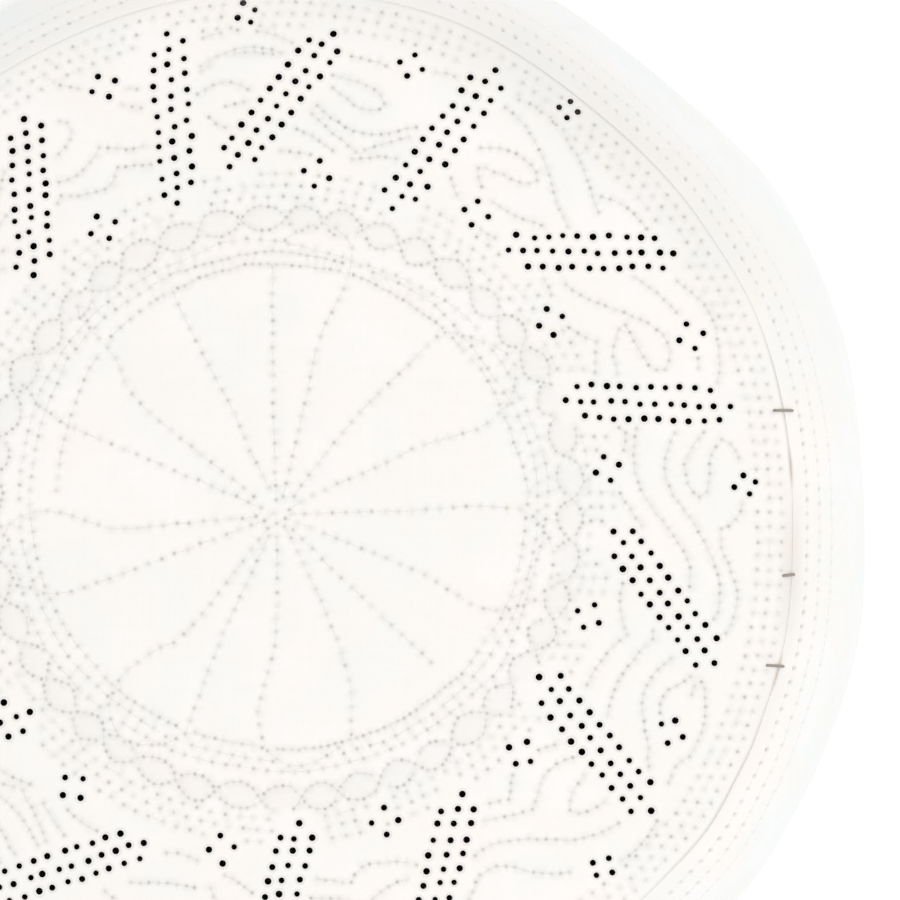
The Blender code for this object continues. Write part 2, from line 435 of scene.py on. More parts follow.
# The rosette's edge is one line that is sewn round and round outwards, clockwise. Each
# part of it has its own pitch, then directions and ways out from the crown's middle.
COIL = [
    (
        1.90 * MM,
        [
            (174, 0.410), (165, 0.413), (157, 0.419), (147, 0.431), (140, 0.442), (130, 0.4535), (120, 0.459),
        ],
    ),
    (
        1.20 * MM,
        [
            (120, 0.459), (110, 0.463), (100, 0.4705), (90, 0.4725), (70, 0.478), (50, 0.478), (40, 0.480),
        ],
    ),
    (2.00 * MM, [(40, 0.480), (30, 0.483), (10, 0.4875), (0, 0.4885), (-20, 0.484), (-40, 0.478)]),
    (1.10 * MM, [(-40, 0.478), (-60, 0.465), (-80, 0.4555), (-92, 0.448)]),
    (1.50 * MM, [(-92, 0.448), (-110, 0.444), (-125, 0.444), (-135, 0.4445)]),
    (
        2.05 * MM,
        [
            (-135, 0.4445), (-150, 0.448), (-165, 0.4515), (-180, 0.457), (-190, 0.460), (-200, 0.4675),
            (-213, 0.478), (-220, 0.484), (-230, 0.4875), (-245, 0.489),
        ],
    ),
    (1.35 * MM, [(-245, 0.489), (-250, 0.4895), (-270, 0.497), (-290, 0.499)]),
    (
        2.10 * MM,
        [
            (-290, 0.499), (-310, 0.501), (-340, 0.506), (-360, 0.5085), (-380, 0.503), (-400, 0.497),
            (-420, 0.488), (-440, 0.478), (-450, 0.472), (-470, 0.469), (-483, 0.465), (-497, 0.468),
            (-510, 0.471), (-530, 0.4735), (-545, 0.480), (-558, 0.486), (-573, 0.497), (-590, 0.5065),
            (-610, 0.508), (-630, 0.518), (-670, 0.522), (-700, 0.525), (-720, 0.5255), (-750, 0.5235),
            (-762, 0.516), (-780, 0.507), (-800, 0.497), (-810, 0.490), (-830, 0.4895), (-850, 0.491),
            (-860, 0.495), (-873, 0.499), (-894, 0.503),
        ],
    ),
]

# Plain stitched rings outside the scallops: the way out, the shift of the ring's middle
# to the right and up, both as shares, and the pitch.
RINGS = [
    # outward, right, up, pitch
    (0.592, 0.0160, 0.0095, 2.15 * MM),
    (0.614, 0.0160, 0.0095, 2.15 * MM),
    (0.637, 0.0160, 0.0095, 2.15 * MM),
]
SCALLOP_RING = (0.5525, 0.0200, 0.0085)
SCALLOP_COUNT = 44
SCALLOP_HALF_HEIGHT = 0.0255
SCALLOP_PITCH = 1.10 * MM
# Hand-guided scallops are blunter than a plain wave and not even: their spacing drifts
# and wanders by these many degrees, and their height by this share.
SCALLOP_BLUNTNESS = 0.75
SCALLOP_DRIFT = 1.9
SCALLOP_DRIFT_FROM = 91
SCALLOP_WANDER = 0.9
SCALLOP_HEIGHT_WANDER = 0.16
PAD_EDGE = 0.7 * MM
# Hand-guided lines wobble in slow waves: the strength of each, how many there are round
# the crown, and how differently they begin on the ring's two sides.
WOBBLES = [
    # strength, waves, shift
    (0.5, 7, 1),
    (0.3, 17, 2),
    (0.2, 41, 0),
]
EDGE_RING_INSETS = [5.3 * MM, 3.5 * MM, 1.65 * MM]
EDGE_RING_PITCH = 2.17 * MM
VINE_PITCH = 1.38 * MM
RAY_PITCH = 2.03 * MM

# Stitched vines of each kind of panel: the share round the panel from its first bar
# to its second, and the way out as a share of the seam radius.
VINES = {
    "loop": [
        [(0.83, 0.884), (0.68, 0.911), (0.53, 0.919), (0.36, 0.911), (0.22, 0.899), (0.06, 0.878)],
        [(0.86, 0.818), (0.76, 0.838), (0.61, 0.858), (0.53, 0.866)],
        [(0.27, 0.866), (0.18, 0.854), (0.08, 0.842)],
        [
            (0.90, 0.716), (0.77, 0.711), (0.68, 0.726), (0.62, 0.752), (0.57, 0.775), (0.52, 0.799),
            (0.44, 0.817), (0.35, 0.822), (0.26, 0.812), (0.20, 0.797), (0.21, 0.775), (0.32, 0.767),
            (0.44, 0.765), (0.50, 0.762), (0.45, 0.746), (0.36, 0.728), (0.28, 0.716), (0.12, 0.710),
        ],
        [(0.86, 0.684), (0.74, 0.679), (0.64, 0.671)],
        [(0.47, 0.668), (0.42, 0.684), (0.38, 0.699)],
        [(0.38, 0.699), (0.29, 0.686), (0.21, 0.676), (0.12, 0.663)],
    ],
    "tongue": [
        [(0.86, 0.885), (0.72, 0.884), (0.62, 0.881), (0.57, 0.879)],
        [(0.38, 0.890), (0.30, 0.902), (0.22, 0.904), (0.12, 0.900)],
        [
            (0.88, 0.844), (0.80, 0.841), (0.66, 0.836), (0.54, 0.826), (0.47, 0.812), (0.46, 0.799),
            (0.53, 0.788), (0.62, 0.795), (0.72, 0.808), (0.82, 0.819), (0.88, 0.828),
        ],
        [
            (0.88, 0.793), (0.76, 0.772), (0.62, 0.755), (0.50, 0.745), (0.38, 0.747), (0.30, 0.762),
            (0.22, 0.783), (0.14, 0.806),
        ],
        [(0.88, 0.778), (0.76, 0.758), (0.64, 0.738), (0.52, 0.722), (0.40, 0.708)],
        [(0.40, 0.708), (0.33, 0.722), (0.27, 0.742), (0.19, 0.765), (0.12, 0.780)],
        [(0.88, 0.738), (0.76, 0.728), (0.62, 0.713), (0.52, 0.700)],
        [(0.92, 0.692), (0.76, 0.689), (0.62, 0.685), (0.56, 0.683)],
        [(0.38, 0.690), (0.30, 0.703), (0.20, 0.714), (0.12, 0.716)],
    ],
    "hook": [
        [
            (0.68, 0.872), (0.78, 0.875), (0.79, 0.889), (0.72, 0.903), (0.60, 0.918), (0.48, 0.924),
            (0.38, 0.920), (0.30, 0.909), (0.20, 0.913), (0.12, 0.925), (0.04, 0.934),
        ],
        [(0.82, 0.868), (0.70, 0.850), (0.60, 0.832), (0.50, 0.824), (0.44, 0.832), (0.42, 0.846)],
        [
            (0.80, 0.818), (0.68, 0.804), (0.56, 0.792), (0.44, 0.788), (0.36, 0.799), (0.29, 0.822),
            (0.23, 0.844), (0.15, 0.866),
        ],
        [(0.84, 0.742), (0.79, 0.757), (0.71, 0.767)],
        [
            (0.71, 0.767), (0.60, 0.752), (0.48, 0.742), (0.34, 0.735), (0.22, 0.740), (0.12, 0.756),
        ],
        [(0.84, 0.682), (0.74, 0.683), (0.65, 0.693), (0.59, 0.717)],
        [(0.59, 0.717), (0.50, 0.704), (0.40, 0.694), (0.28, 0.687), (0.12, 0.685)],
    ],
    "cusps": [
        [(0.86, 0.922), (0.72, 0.900), (0.58, 0.876), (0.46, 0.850), (0.36, 0.830)],
        [(0.38, 0.866), (0.30, 0.852), (0.20, 0.844), (0.14, 0.858)],
        [(0.36, 0.830), (0.24, 0.812), (0.12, 0.800)],
        [(0.86, 0.858), (0.74, 0.842), (0.70, 0.824), (0.72, 0.802), (0.84, 0.796)],
        [(0.84, 0.760), (0.76, 0.748), (0.66, 0.742), (0.56, 0.752), (0.50, 0.770)],
        [(0.50, 0.770), (0.42, 0.760), (0.30, 0.744), (0.16, 0.738)],
        [(0.82, 0.702), (0.75, 0.724)],
        [(0.75, 0.724), (0.66, 0.710), (0.54, 0.700), (0.44, 0.694), (0.39, 0.704), (0.37, 0.720)],
        [(0.37, 0.720), (0.28, 0.712), (0.16, 0.702)],
    ],
    "comma": [
        [
            (0.88, 0.920), (0.78, 0.925), (0.68, 0.916), (0.56, 0.900), (0.44, 0.880), (0.34, 0.862),
            (0.24, 0.846),
        ],
        [
            (0.90, 0.893), (0.80, 0.886), (0.66, 0.862), (0.54, 0.840), (0.42, 0.814), (0.30, 0.797),
            (0.20, 0.786),
        ],
        [(0.12, 0.898), (0.22, 0.896), (0.30, 0.880), (0.32, 0.864), (0.25, 0.846)],
        [
            (0.84, 0.802), (0.78, 0.818), (0.68, 0.830), (0.56, 0.824), (0.51, 0.806), (0.56, 0.788),
            (0.66, 0.778), (0.76, 0.771), (0.72, 0.754), (0.64, 0.738), (0.60, 0.724),
        ],
        [(0.82, 0.724), (0.72, 0.706), (0.62, 0.695)],
        [(0.52, 0.728), (0.40, 0.730), (0.32, 0.738), (0.24, 0.752)],
        [(0.40, 0.676), (0.28, 0.670), (0.16, 0.680)],
    ],
    "narrow": [
        [(0.86, 0.918), (0.68, 0.924), (0.48, 0.918), (0.30, 0.902), (0.14, 0.885)],
        [(0.84, 0.862), (0.70, 0.882), (0.54, 0.890), (0.36, 0.882), (0.16, 0.860)],
        [(0.84, 0.854), (0.70, 0.874), (0.54, 0.881), (0.36, 0.876)],
        [(0.84, 0.810), (0.70, 0.826), (0.56, 0.824), (0.40, 0.806), (0.36, 0.788), (0.56, 0.780)],
        [(0.68, 0.762), (0.52, 0.742), (0.36, 0.736)],
    ],
    "slant": [
        [(0.98, 0.940), (0.88, 0.946), (0.78, 0.938), (0.70, 0.928)],
        [
            (0.60, 0.890), (0.50, 0.862), (0.42, 0.838), (0.34, 0.812), (0.24, 0.796), (0.16, 0.802),
            (0.13, 0.828),
        ],
        [
            (0.86, 0.886), (0.76, 0.870), (0.64, 0.842), (0.54, 0.812), (0.44, 0.788), (0.32, 0.768),
            (0.20, 0.758), (0.10, 0.762),
        ],
        [(0.86, 0.842), (0.76, 0.826), (0.70, 0.806), (0.74, 0.784), (0.84, 0.778)],
        [(0.84, 0.742), (0.74, 0.724), (0.64, 0.722), (0.56, 0.738), (0.51, 0.754)],
        [(0.51, 0.754), (0.38, 0.736), (0.26, 0.722), (0.12, 0.708)],
        [(0.84, 0.706), (0.74, 0.692), (0.66, 0.680)],
        [(0.42, 0.680), (0.37, 0.710)],
        [(0.37, 0.710), (0.26, 0.696), (0.14, 0.686)],
    ],
    "waves": [
        [
            (0.84, 0.870), (0.82, 0.890), (0.74, 0.900), (0.64, 0.898), (0.56, 0.892), (0.50, 0.874),
            (0.46, 0.858), (0.38, 0.864), (0.32, 0.884), (0.26, 0.902), (0.18, 0.904), (0.10, 0.896),
        ],
        [(0.84, 0.868), (0.76, 0.844), (0.66, 0.838), (0.58, 0.828), (0.56, 0.812), (0.60, 0.796)],
        [(0.86, 0.838), (0.78, 0.812), (0.68, 0.792), (0.60, 0.796)],
        [
            (0.84, 0.784), (0.74, 0.764), (0.62, 0.754), (0.52, 0.764), (0.46, 0.790), (0.40, 0.816),
            (0.33, 0.842), (0.25, 0.864), (0.16, 0.872), (0.10, 0.866),
        ],
        [
            (0.84, 0.714), (0.70, 0.702), (0.56, 0.698), (0.46, 0.704), (0.38, 0.724), (0.33, 0.752),
            (0.28, 0.782), (0.22, 0.804), (0.14, 0.810),
        ],
        [(0.84, 0.668), (0.80, 0.692), (0.70, 0.686), (0.60, 0.676)],
        [(0.36, 0.656), (0.28, 0.680), (0.22, 0.706)],
        [(0.22, 0.706), (0.12, 0.698)],
    ],
}

# Rows of stitches down the side band: the distance from the seam along the cloth, and
# how deep the row is sewn as a share of a row on the crown.
BAND_ROWS = [
    # distance, strength
    (3.8 * MM, 1.00),
    (6.9 * MM, 0.60),
    (10.4 * MM, 0.32),
]
HEM_ROWS = [
    # up from the rim, strength
    (10.5 * MM, 0.45),
    (2.0 * MM, 0.45),
]
# Needle holes of the band are this many of its mesh's columns apart.
BAND_HOLE_STEP = 4
BAND_ROW_WIDTH = 0.62 * MM
# Half way out of a row of stitches the cloth still lies this share as deep.
BAND_ROW_SIDE = 0.45
# The band's mesh has rings at these distances from the seam, then about this far apart.
BAND_TOP_RINGS = (0.0, 0.25 * MM, 0.6 * MM, 1.0 * MM, 1.5 * MM)
BAND_RING_GAP = 2.1 * MM

# The band's inside, up from the fold: shares of the turned hem's height, shares of the
# wall above it, and the tuck under the crown's edge from the seam's radius and level.
HEM_INSIDE = (0.12, 0.5, 0.95)
HEM_EDGE = 1.04 * HEM_HEIGHT
WALL_INSIDE = (0.86, 0.72, 0.58, 0.45, 0.33, 0.22, 0.13, 0.07, 0.03)
TUCK = [
    # outward, up
    (-0.9 * MM, -1.5 * MM),
    (-3.4 * MM, -1.1 * MM),
    (-3.6 * MM, -0.4 * MM),
    (-3.4 * MM, 0.1 * MM),
    (-1.5 * MM, 0.0),
    (-0.3 * MM, -0.1 * MM),
]
TUCK_GAP = 0.1 * MM
FOLD_STEPS = 6

# Three hand stitches that cross the seam: their direction, how far they reach to the
# crown's side and to the band's side, and their lean in degrees.
SEAM_TIES = [
    # angle, inward, outward, lean
    (11.3, 1.7 * MM, 1.6 * MM, 2),
    (-6.8, 1.5 * MM, 0.6 * MM, 8),
    (-16.8, 2.1 * MM, 0.9 * MM, -3),
]
TIE_RADIUS = 0.21 * MM
TIE_SIDES = 6
TIE_SHARES = (0.0, 0.08, 0.3, 0.5, 0.7, 0.92, 1.0)
TIE_LIFT = 0.30 * MM
TIE_END_DEPTH = 0.15 * MM
# How steeply the side band falls away just outside the seam.
TIE_SLOPE = 0.9

# Roundness is worked out once at this many steps to the degree.
DEGREE_STEPS = 4

# The stage: the camera looks at the target from this place and its own distance above
# it, both in millimetres from the crown's middle. Lamp and floor are in metres.
FLOOR_SIZE = 3.0
TARGET = (27.0, 9.3, 88.0)
CAMERA_PLACE = (40.9, -45.4, 88.0)
LENS = 320
SENSOR = 36
CLIP_END = 10
LAMP_PLACE = (0.6, -0.2, 1.35)
LAMP_AIM = (0, 0, 0.06)
LAMP_SIZE = 0.5


def hex_colour(code):
    """A linear colour from an sRGB hex value."""
    parts = [int(code[i : i + 2], 16) / 255 for i in (1, 3, 5)]
    return tuple(p / 12.92 if p <= 0.04045 else ((p + 0.055) / 1.055) ** 2.4 for p in parts)


def length(name, description, default):
    """A length that the panel shows with its unit."""
    return FloatProperty(name=name, description=description, default=default, unit="LENGTH")


def cloth_colour(name, description, code):
    """A colour that the panel shows, from its sRGB hex value."""
    return FloatVectorProperty(
        name=name, description=description, default=hex_colour(code), subtype="COLOR", min=0.0, max=1.0
    )


# Sizes, colours and stage settings for the panel


class CapSizes(bpy.types.PropertyGroup):
    """Sizes of the cloth, its quilting and its eyelets."""

    cloth_thickness: length("Cloth thickness", "Thickness of both quilted layers together", 1.9 * MM)
    quilt_rise: length("Quilting rise", "How far the cloth puffs up between rows of stitches", 0.15 * MM)
    pad_rise: length("Pad rise", "How much higher it stands in the middle of a wide field", 0.28 * MM)
    pit_depth: length("Needle hole depth", "How deep a stitch pulls its needle hole", 0.25 * MM)
    pit_radius: length("Needle hole radius", "Radius of the dimple round a needle hole", 0.42 * MM)
    thread_radius: length("Thread radius", "Radius of the sewing thread", 0.08 * MM)
    eyelet_radius: length("Eyelet radius", "Radius of the open hole of an eyelet", 0.445 * MM)
    eyelet_cord: length("Eyelet edge", "Radius of the stitching round an eyelet", 0.16 * MM)


class CapColours(bpy.types.PropertyGroup):
    """Colours of the cap, as sRGB hex values turned to linear."""

    cotton: cloth_colour("Cotton", "Bleached cotton of both pieces", "#f3f0ee")
    # Painted shade: the side band's cotton is cooler and greyer lower down the wall.
    band_cotton: cloth_colour("Side band cotton", "The same lower down the side band, cooler", "#f0f1f1")
    # Painted shade at the bottom of needle holes, inside eyelets, in the seam's groove and along the seam,
    # and also the grey of flecks and scallop pads.
    shade_fleck_and_pad_grey: cloth_colour("Needle hole shade", "Cloth at the bottom of a needle hole", "#c3c0b9")
    seam_tint: cloth_colour("Seam tint", "Faint age stain along the seam", "#c2b3a2")


class StageSettings(bpy.types.PropertyGroup):
    """Where the camera stands and how bright the light is."""

    camera_distance: length("Camera distance", "From the camera to the crown", 1.2)
    dome_strength: FloatProperty(
        name="Dome strength",
        description="Strength of the white surroundings",
        default=0.975,
    )
    lamp_power: FloatProperty(
        name="Window light",
        description="Power of the soft light from the right",
        default=3.2,
        unit="POWER",
    )


def smooth_step(share):
    """A share from nothing to one, eased at both ends."""
    return share * share * (3 - 2 * share)


def clamp(value, low=0.0, high=1.0):
    """The value, kept between two limits."""
    return min(max(value, low), high)


def table_value(rows, at, column):
    """The column's value at a place in a table whose first column rises or falls."""
    for here, there in zip(rows, rows[1:]):
        low, high = sorted((here[0], there[0]))
        if low <= at <= high:
            share = (at - here[0]) / (there[0] - here[0])
            return here[column] + (there[column] - here[column]) * share
    return rows[-1][column] if abs(at - rows[-1][0]) < abs(at - rows[0][0]) else rows[0][column]


def roundness(angle, column):
    """The share of the nominal radius at this angle in degrees, eased between rows."""
    angle = angle % 360
    rows = ROUNDNESS + [(ROUNDNESS[0][0] + 360, *ROUNDNESS[0][1:])]
    for here, there in zip(rows, rows[1:]):
        if here[0] <= angle <= there[0]:
            share = smooth_step((angle - here[0]) / (there[0] - here[0]))
            return here[column] + (there[column] - here[column]) * share
    return 1.0


def hill(distance, half):
    """One in the middle, falling softly to nothing at half the width."""
    share = min(abs(distance) / half, 1.0)
    return (1 - share * share) ** 2


def angle_of(x, y):
    """The direction of a place from the crown's middle, in degrees."""
    return math.degrees(math.atan2(y, x))


def apart(angle, other):
    """How many degrees one direction is from another, the short way round."""
    return (angle - other + 180) % 360 - 180


def swell(angle, height):
    """How far the side band stands out from its plain line here, in metres."""
    out = 0.0
    for middle, level, half_angle, half_height, depth in SWELLS:
        out += depth * hill(apart(angle, middle), half_angle) * hill(height - level, half_height)
    return out * SWELL_DEPTH


def crown_middle():
    """Where the crown's own middle is, because the outline is centred on the origin."""
    round_angles = range(0, 360, 5)
    reach = [RIM_RADIUS * roundness(a, RIM_COLUMN) + swell(a, 0.0) for a in round_angles]
    xs = [r * math.cos(math.radians(a)) for r, a in zip(reach, round_angles)]
    ys = [r * math.sin(math.radians(a)) for r, a in zip(reach, round_angles)]
    return Vector((-(min(xs) + max(xs)) / 2, -(min(ys) + max(ys)) / 2, 0.0))


MIDDLE = crown_middle()


# Places on the crown


def out_along(angle):
    """One step straight out from the middle at this angle in degrees, in plan."""
    return Vector((math.cos(math.radians(angle)), math.sin(math.radians(angle))))


def at(angle, outward, right=0.0, up=0.0):
    """A place on the crown's plan, in metres from its middle."""
    turn = math.radians(angle)
    x = SEAM_RADIUS * (outward * math.cos(turn) + right)
    y = SEAM_RADIUS * (outward * math.sin(turn) + up)
    return Vector((x, y))


def bar_angle(middle, kind, outward):
    """The direction of a straight turned bar where it is this far out."""
    turn, middle_outward = BAR_KINDS[kind]
    closest = middle_outward * math.sin(math.radians(turn))
    return middle - turn + math.degrees(math.asin(clamp(closest / outward, -1, 1)))


def panel_place(pair, second, around, outward):
    """A place in one of a pair's two panels, from its share round and its way out."""
    upright = bar_angle(BAR_PAIRS[pair][0], "upright", outward)
    leaning = bar_angle(BAR_PAIRS[pair][1], "leaning", outward)
    if not second:
        return at(upright + (leaning - upright) * around, outward)
    following = BAR_PAIRS[(pair + 1) % len(BAR_PAIRS)][0]
    upright = bar_angle(following, "upright", outward)
    return at(leaning + ((upright - leaning) % 360) * around, outward)


@functools.lru_cache(maxsize=None)
def bars():
    """Each bar of eyelets: its middle, its direction along and its length share."""
    found = []
    for angle, outward, turn, share in BARS:
        found.append((at(angle, outward), out_along(angle - turn), share))
    return found


def shaken(place, chance, amount):
    """A place that an unsteady hand has moved a little."""
    return place + Vector((chance.gauss(0, amount), chance.gauss(0, amount)))


def eyelet_places():
    """Every eyelet on the crown, as (place, radius share)."""
    chance = random.Random(EYELET_SEED)
    places = []
    for middle, along, share in bars():
        across = Vector((-along.y, along.x))
        for side, count in BAR_ROWS:
            for step in range(count):
                run = (step - (count - 1) / 2) * BAR_PITCH * share + side * BAR_SLANT
                spot = middle + along * run + across * (side * BAR_ROW_GAP)
                places.append((shaken(spot, chance, EYELET_JITTER), chance.uniform(*BAR_EYELET_SIZES)))
    for angle, outward, turn, half in EYELET_GROUPS:
        for step in range(4):
            spot = at(angle, outward) + out_along(angle + turn + 90 * step) * half
            places.append((shaken(spot, chance, EYELET_JITTER), chance.uniform(*GROUP_EYELET_SIZES)))
    kept = []
    for place, size in places:
        if all((place - other).length > EYELET_ROOM for other, _ in kept):
            kept.append((place, size))
    return kept


def curve_through(points, step=0.2 * MM):
    """A smooth dense line through the points, each part bent by its neighbours."""
    if len(points) == 2:
        count = max(int((points[1] - points[0]).length / step), 1)
        return [points[0].lerp(points[1], k / count) for k in range(count + 1)]
    line = []
    before = points[0] + (points[0] - points[1])
    after = points[-1] + (points[-1] - points[-2])
    ends = [before, *points, after]
    for a, b, c, d in zip(ends, ends[1:], ends[2:], ends[3:]):
        count = max(int((c - b).length / step), 1)
        for part in range(count):
            t = part / count
            slope = (c - a) * t
            bend = (2 * a - 5 * b + 4 * c - d) * t * t
            twist = (3 * b - a - 3 * c + d) * t * t * t
            line.append(0.5 * (2 * b + slope + bend + twist))
    line.append(points[-1])
    return line


def stitches_along(line, pitch, chance):
    """Needle holes along a dense line, about a pitch apart."""
    total = sum((b - a).length for a, b in zip(line, line[1:]))
    count = max(round(total / pitch), 1)
    step = total / count
    holes = []
    walked = 0.0
    wanted = 0.0
    for a, b in zip(line, line[1:]):
        part = (b - a).length
        while part > 0 and wanted <= walked + part + TINY and len(holes) <= count:
            run = (b - a) / part
            side = Vector((-run.y, run.x))
            place = a.lerp(b, clamp((wanted - walked) / part))
            place = place + run * chance.gauss(0, STRAY_ALONG) + side * chance.gauss(0, STRAY_ACROSS)
            holes.append(place)
            wanted += step
        walked += part
    return holes


def ring_line(outward, right, up):
    """A plain ring, whose middle may be beside the crown's."""
    return [at(angle, outward, right, up) for angle in range(361)]


def edge_ring_line(inset):
    """A ring that keeps this far inside the seam all the way round."""
    angles = range(361)
    return [out_along(angle) * (SEAM_RADIUS * roundness(angle, SEAM_COLUMN) - inset) for angle in angles]


def uneven(angle, side):
    """A slow wobble between about -1 and 1, different on each side, for hand-guided lines."""
    turn = math.radians(angle)
    return sum(strength * math.sin(waves * turn + shift * side) for strength, waves, shift in WOBBLES)


def scallop_phase(angle):
    """How far round its wave the scallops' ring is at this angle: they aren't quite even."""
    late = SCALLOP_DRIFT * (1 - math.cos(math.radians(angle - SCALLOP_DRIFT_FROM)))
    return math.radians(angle - late) * SCALLOP_COUNT / 2


def scallop_line(side):
    """One of the two crossing waves that make the ring of padded scallops."""
    outward, right, up = SCALLOP_RING
    line = []
    for step in range(360 * DEGREE_STEPS + 1):
        angle = step / DEGREE_STEPS
        wander = math.radians(SCALLOP_WANDER * uneven(angle, 3 * side)) * SCALLOP_COUNT / 2
        swing = math.sin(scallop_phase(angle) + wander)
        swing = math.copysign(abs(swing) ** SCALLOP_BLUNTNESS, swing)
        swing *= 1 + SCALLOP_HEIGHT_WANDER * uneven(angle, side)
        line.append(at(angle, outward + side * SCALLOP_HALF_HEIGHT * swing, right, up))
    return line


def crown_lines():
    """Every stitched line on the crown, by kind: (kind, dense line, pitch)."""
    lines = []
    for (first_angle, first_out), *others in RAYS:
        points = [at(first_angle, first_out, *RAYS_MEET)] + [at(angle, out) for angle, out in others]
        lines.append(("rays", curve_through(points), RAY_PITCH))
    for pitch, places in COIL:
        lines.append(("rings", curve_through([at(angle, out) for angle, out in places]), pitch))
    for outward, right, up, pitch in RINGS:
        lines.append(("rings", ring_line(outward, right, up), pitch))
    for inset in EDGE_RING_INSETS:
        lines.append(("rings", edge_ring_line(inset), EDGE_RING_PITCH))
    for side in (1, -1):
        lines.append(("scallops", scallop_line(side), SCALLOP_PITCH))
    for pair, row in enumerate(BAR_PAIRS):
        for second, name in ((False, row[2]), (True, row[3])):
            for points in VINES[name]:
                places = [panel_place(pair, second, around, out) for around, out in points]
                lines.append(("vines", curve_through(places), VINE_PITCH))
    return lines


def in_bar(place, margin):
    """Whether a place lies in a bar of eyelets, or within a margin of it."""
    for middle, along, share in bars():
        away = place - middle
        run = abs(away.dot(along))
        side = abs(away.x * -along.y + away.y * along.x)
        pitch = BAR_PITCH * share
        if side < BAR_ROW_GAP + margin and run < pitch * BAR_HALF_LENGTH + margin:
            if run + side * 0.5 < pitch * BAR_TIP + margin:
                return True
    return False


def tree_of(points):
    """A search tree of places on the plan."""
    tree = KDTree(len(points))
    for index, point in enumerate(points):
        tree.insert((point.x, point.y, 0.0), index)
    tree.balance()
    return tree


def nearest(tree, place):
    """How far the nearest point of a tree is."""
    return tree.find((place.x, place.y, 0))[2]


# The crown's form and cloth


class CrownPlan:
    """Where every stitch and eyelet of the crown lies, worked out once."""

    def __init__(self):
        self.eyelets = eyelet_places()
        self.eyelet_tree = tree_of([place for place, _ in self.eyelets])
        self.stitches = []
        self.runs = []
        self.taken = {}
        chance = random.Random(HOLE_SEED)
        dense = []
        for kind, line, pitch in crown_lines():
            run = []
            for place in stitches_along(line, pitch, chance):
                if self.blocked(place):
                    self.runs.append((kind, run))
                    run = []
                    continue
                self.taken.setdefault(self.cell(place), []).append(place)
                self.stitches.append(place)
                run.append(place)
            self.runs.append((kind, run))
            dense += [spot for spot in line[::2] if not in_bar(spot, PRESSED_TO_BAR)]
        self.stitch_tree = tree_of(self.stitches)
        self.dense_tree = tree_of(dense)

    @staticmethod
    def cell(place):
        return int(place.x // HOLE_CELL), int(place.y // HOLE_CELL)

    def blocked(self, place):
        """Whether an eyelet or an earlier needle hole is too near this place."""
        if in_bar(place, HOLE_TO_BAR) or nearest(self.eyelet_tree, place) < HOLE_TO_EYELET:
            return True
        column, row = self.cell(place)
        near = [(column + i, row + j) for i in (-1, 0, 1) for j in (-1, 0, 1)]
        others = [other for cell in near for other in self.taken.get(cell, ())]
        return any((other - place).length < HOLE_ROOM for other in others)


@functools.lru_cache(maxsize=None)
def crown_plan():
    """The one plan that the crown's cloth, stitches and eyelets share."""
    return CrownPlan()


def crown_top(place):
    """The crown's smooth height at a place on its plan."""
    outward = place.length / (SEAM_RADIUS * seam_share(angle_of(place.x, place.y)))
    share = min(outward, 1.0)
    for here, there in zip(CROWN_CURVE, CROWN_CURVE[1:]):
        if share <= there.x:
            part = (share - here.x) / max(there.x - here.x, TINY)
            return CAP_HEIGHT - CROWN_RISE * (here.y + (there.y - here.y) * part)
    return SEAM_HEIGHT


@functools.lru_cache(maxsize=None)
def share_at(step, column):
    """The roundness at one fine step, worked out once."""
    return roundness(step / DEGREE_STEPS, column)


def near_share(angle, column):
    """The roundness from fine steps that are worked out once, which is far quicker."""
    step = math.floor(angle * DEGREE_STEPS)
    part = angle * DEGREE_STEPS - step
    whole = 360 * DEGREE_STEPS
    return share_at(step % whole, column) * (1 - part) + share_at((step + 1) % whole, column) * part


def seam_share(angle):
    """The seam's share of its nominal radius in this direction."""
    return near_share(angle, SEAM_COLUMN)


def puff(distance, sizes):
    """How far the cloth stands above its stitched lines at this distance from one."""
    near = 1 - math.exp(-((distance / QUILT_REACH) ** 2))
    far = 1 - math.exp(-distance / PAD_REACH)
    return sizes.quilt_rise * near + sizes.pad_rise * far


def crown_skin(place, plan, sizes):
    """The crown's puffed height at a place, needle holes left out."""
    edge = SEAM_RADIUS * seam_share(angle_of(place.x, place.y)) - SEAM_GAP / 2
    inset = max(edge - place.length, 0.0)
    stitched = min(nearest(plan.dense_tree, place), inset)
    roll = EDGE_ROLL * max(1 - inset / EDGE_ROLL_WIDTH, 0.0) ** 2
    return crown_top(place) + puff(stitched, sizes) - roll


def new_object(name, data):
    """An object that stands in the scene."""
    made = bpy.data.objects.new(name, data)
    bpy.context.scene.collection.objects.link(made)
    return made


def new_piece(name, points, faces, material, attributes=None):
    """A mesh object on the cap's own axis, from points that are measured from it."""
    data = bpy.data.meshes.new(name)
    shifted = [(x + MIDDLE.x, y + MIDDLE.y, z) for x, y, z in points]
    data.from_pydata(shifted, [], faces)
    for label, values in (attributes or {}).items():
        layer = data.attributes.new(label, "FLOAT", "POINT")
        layer.data.foreach_set("value", values)
    data.polygons.foreach_set("use_smooth", [True] * len(data.polygons))
    data.materials.append(material)
    data.update()
    return new_object(name, data)


def triangulate(points, tags, loops):
    """Triangles between the points. What closes a loop, such as an eyelet, is left open."""
    flat = [Vector((p.x, p.y)) for p in points]
    made = delaunay_2d_cdt(flat, loops, [], 0, MERGED)
    origin = [sources[0] if sources else None for sources in made[3]]
    faces = []
    for face in made[2]:
        corners = [origin[corner] for corner in face]
        if None in corners:
            raise RuntimeError("two stitched lines of the cloth cross where no point is")
        marks = {tags[corner] for corner in corners}
        if len(marks) == 1 and marks != {-1}:
            continue
        faces.append(corners)
    return faces


def ring_of(middle, radius, count, start=0.0):
    """Points evenly round a middle."""
    turns = [start + math.tau * k / count for k in range(count)]
    return [middle + Vector((math.cos(turn), math.sin(turn))) * radius for turn in turns]


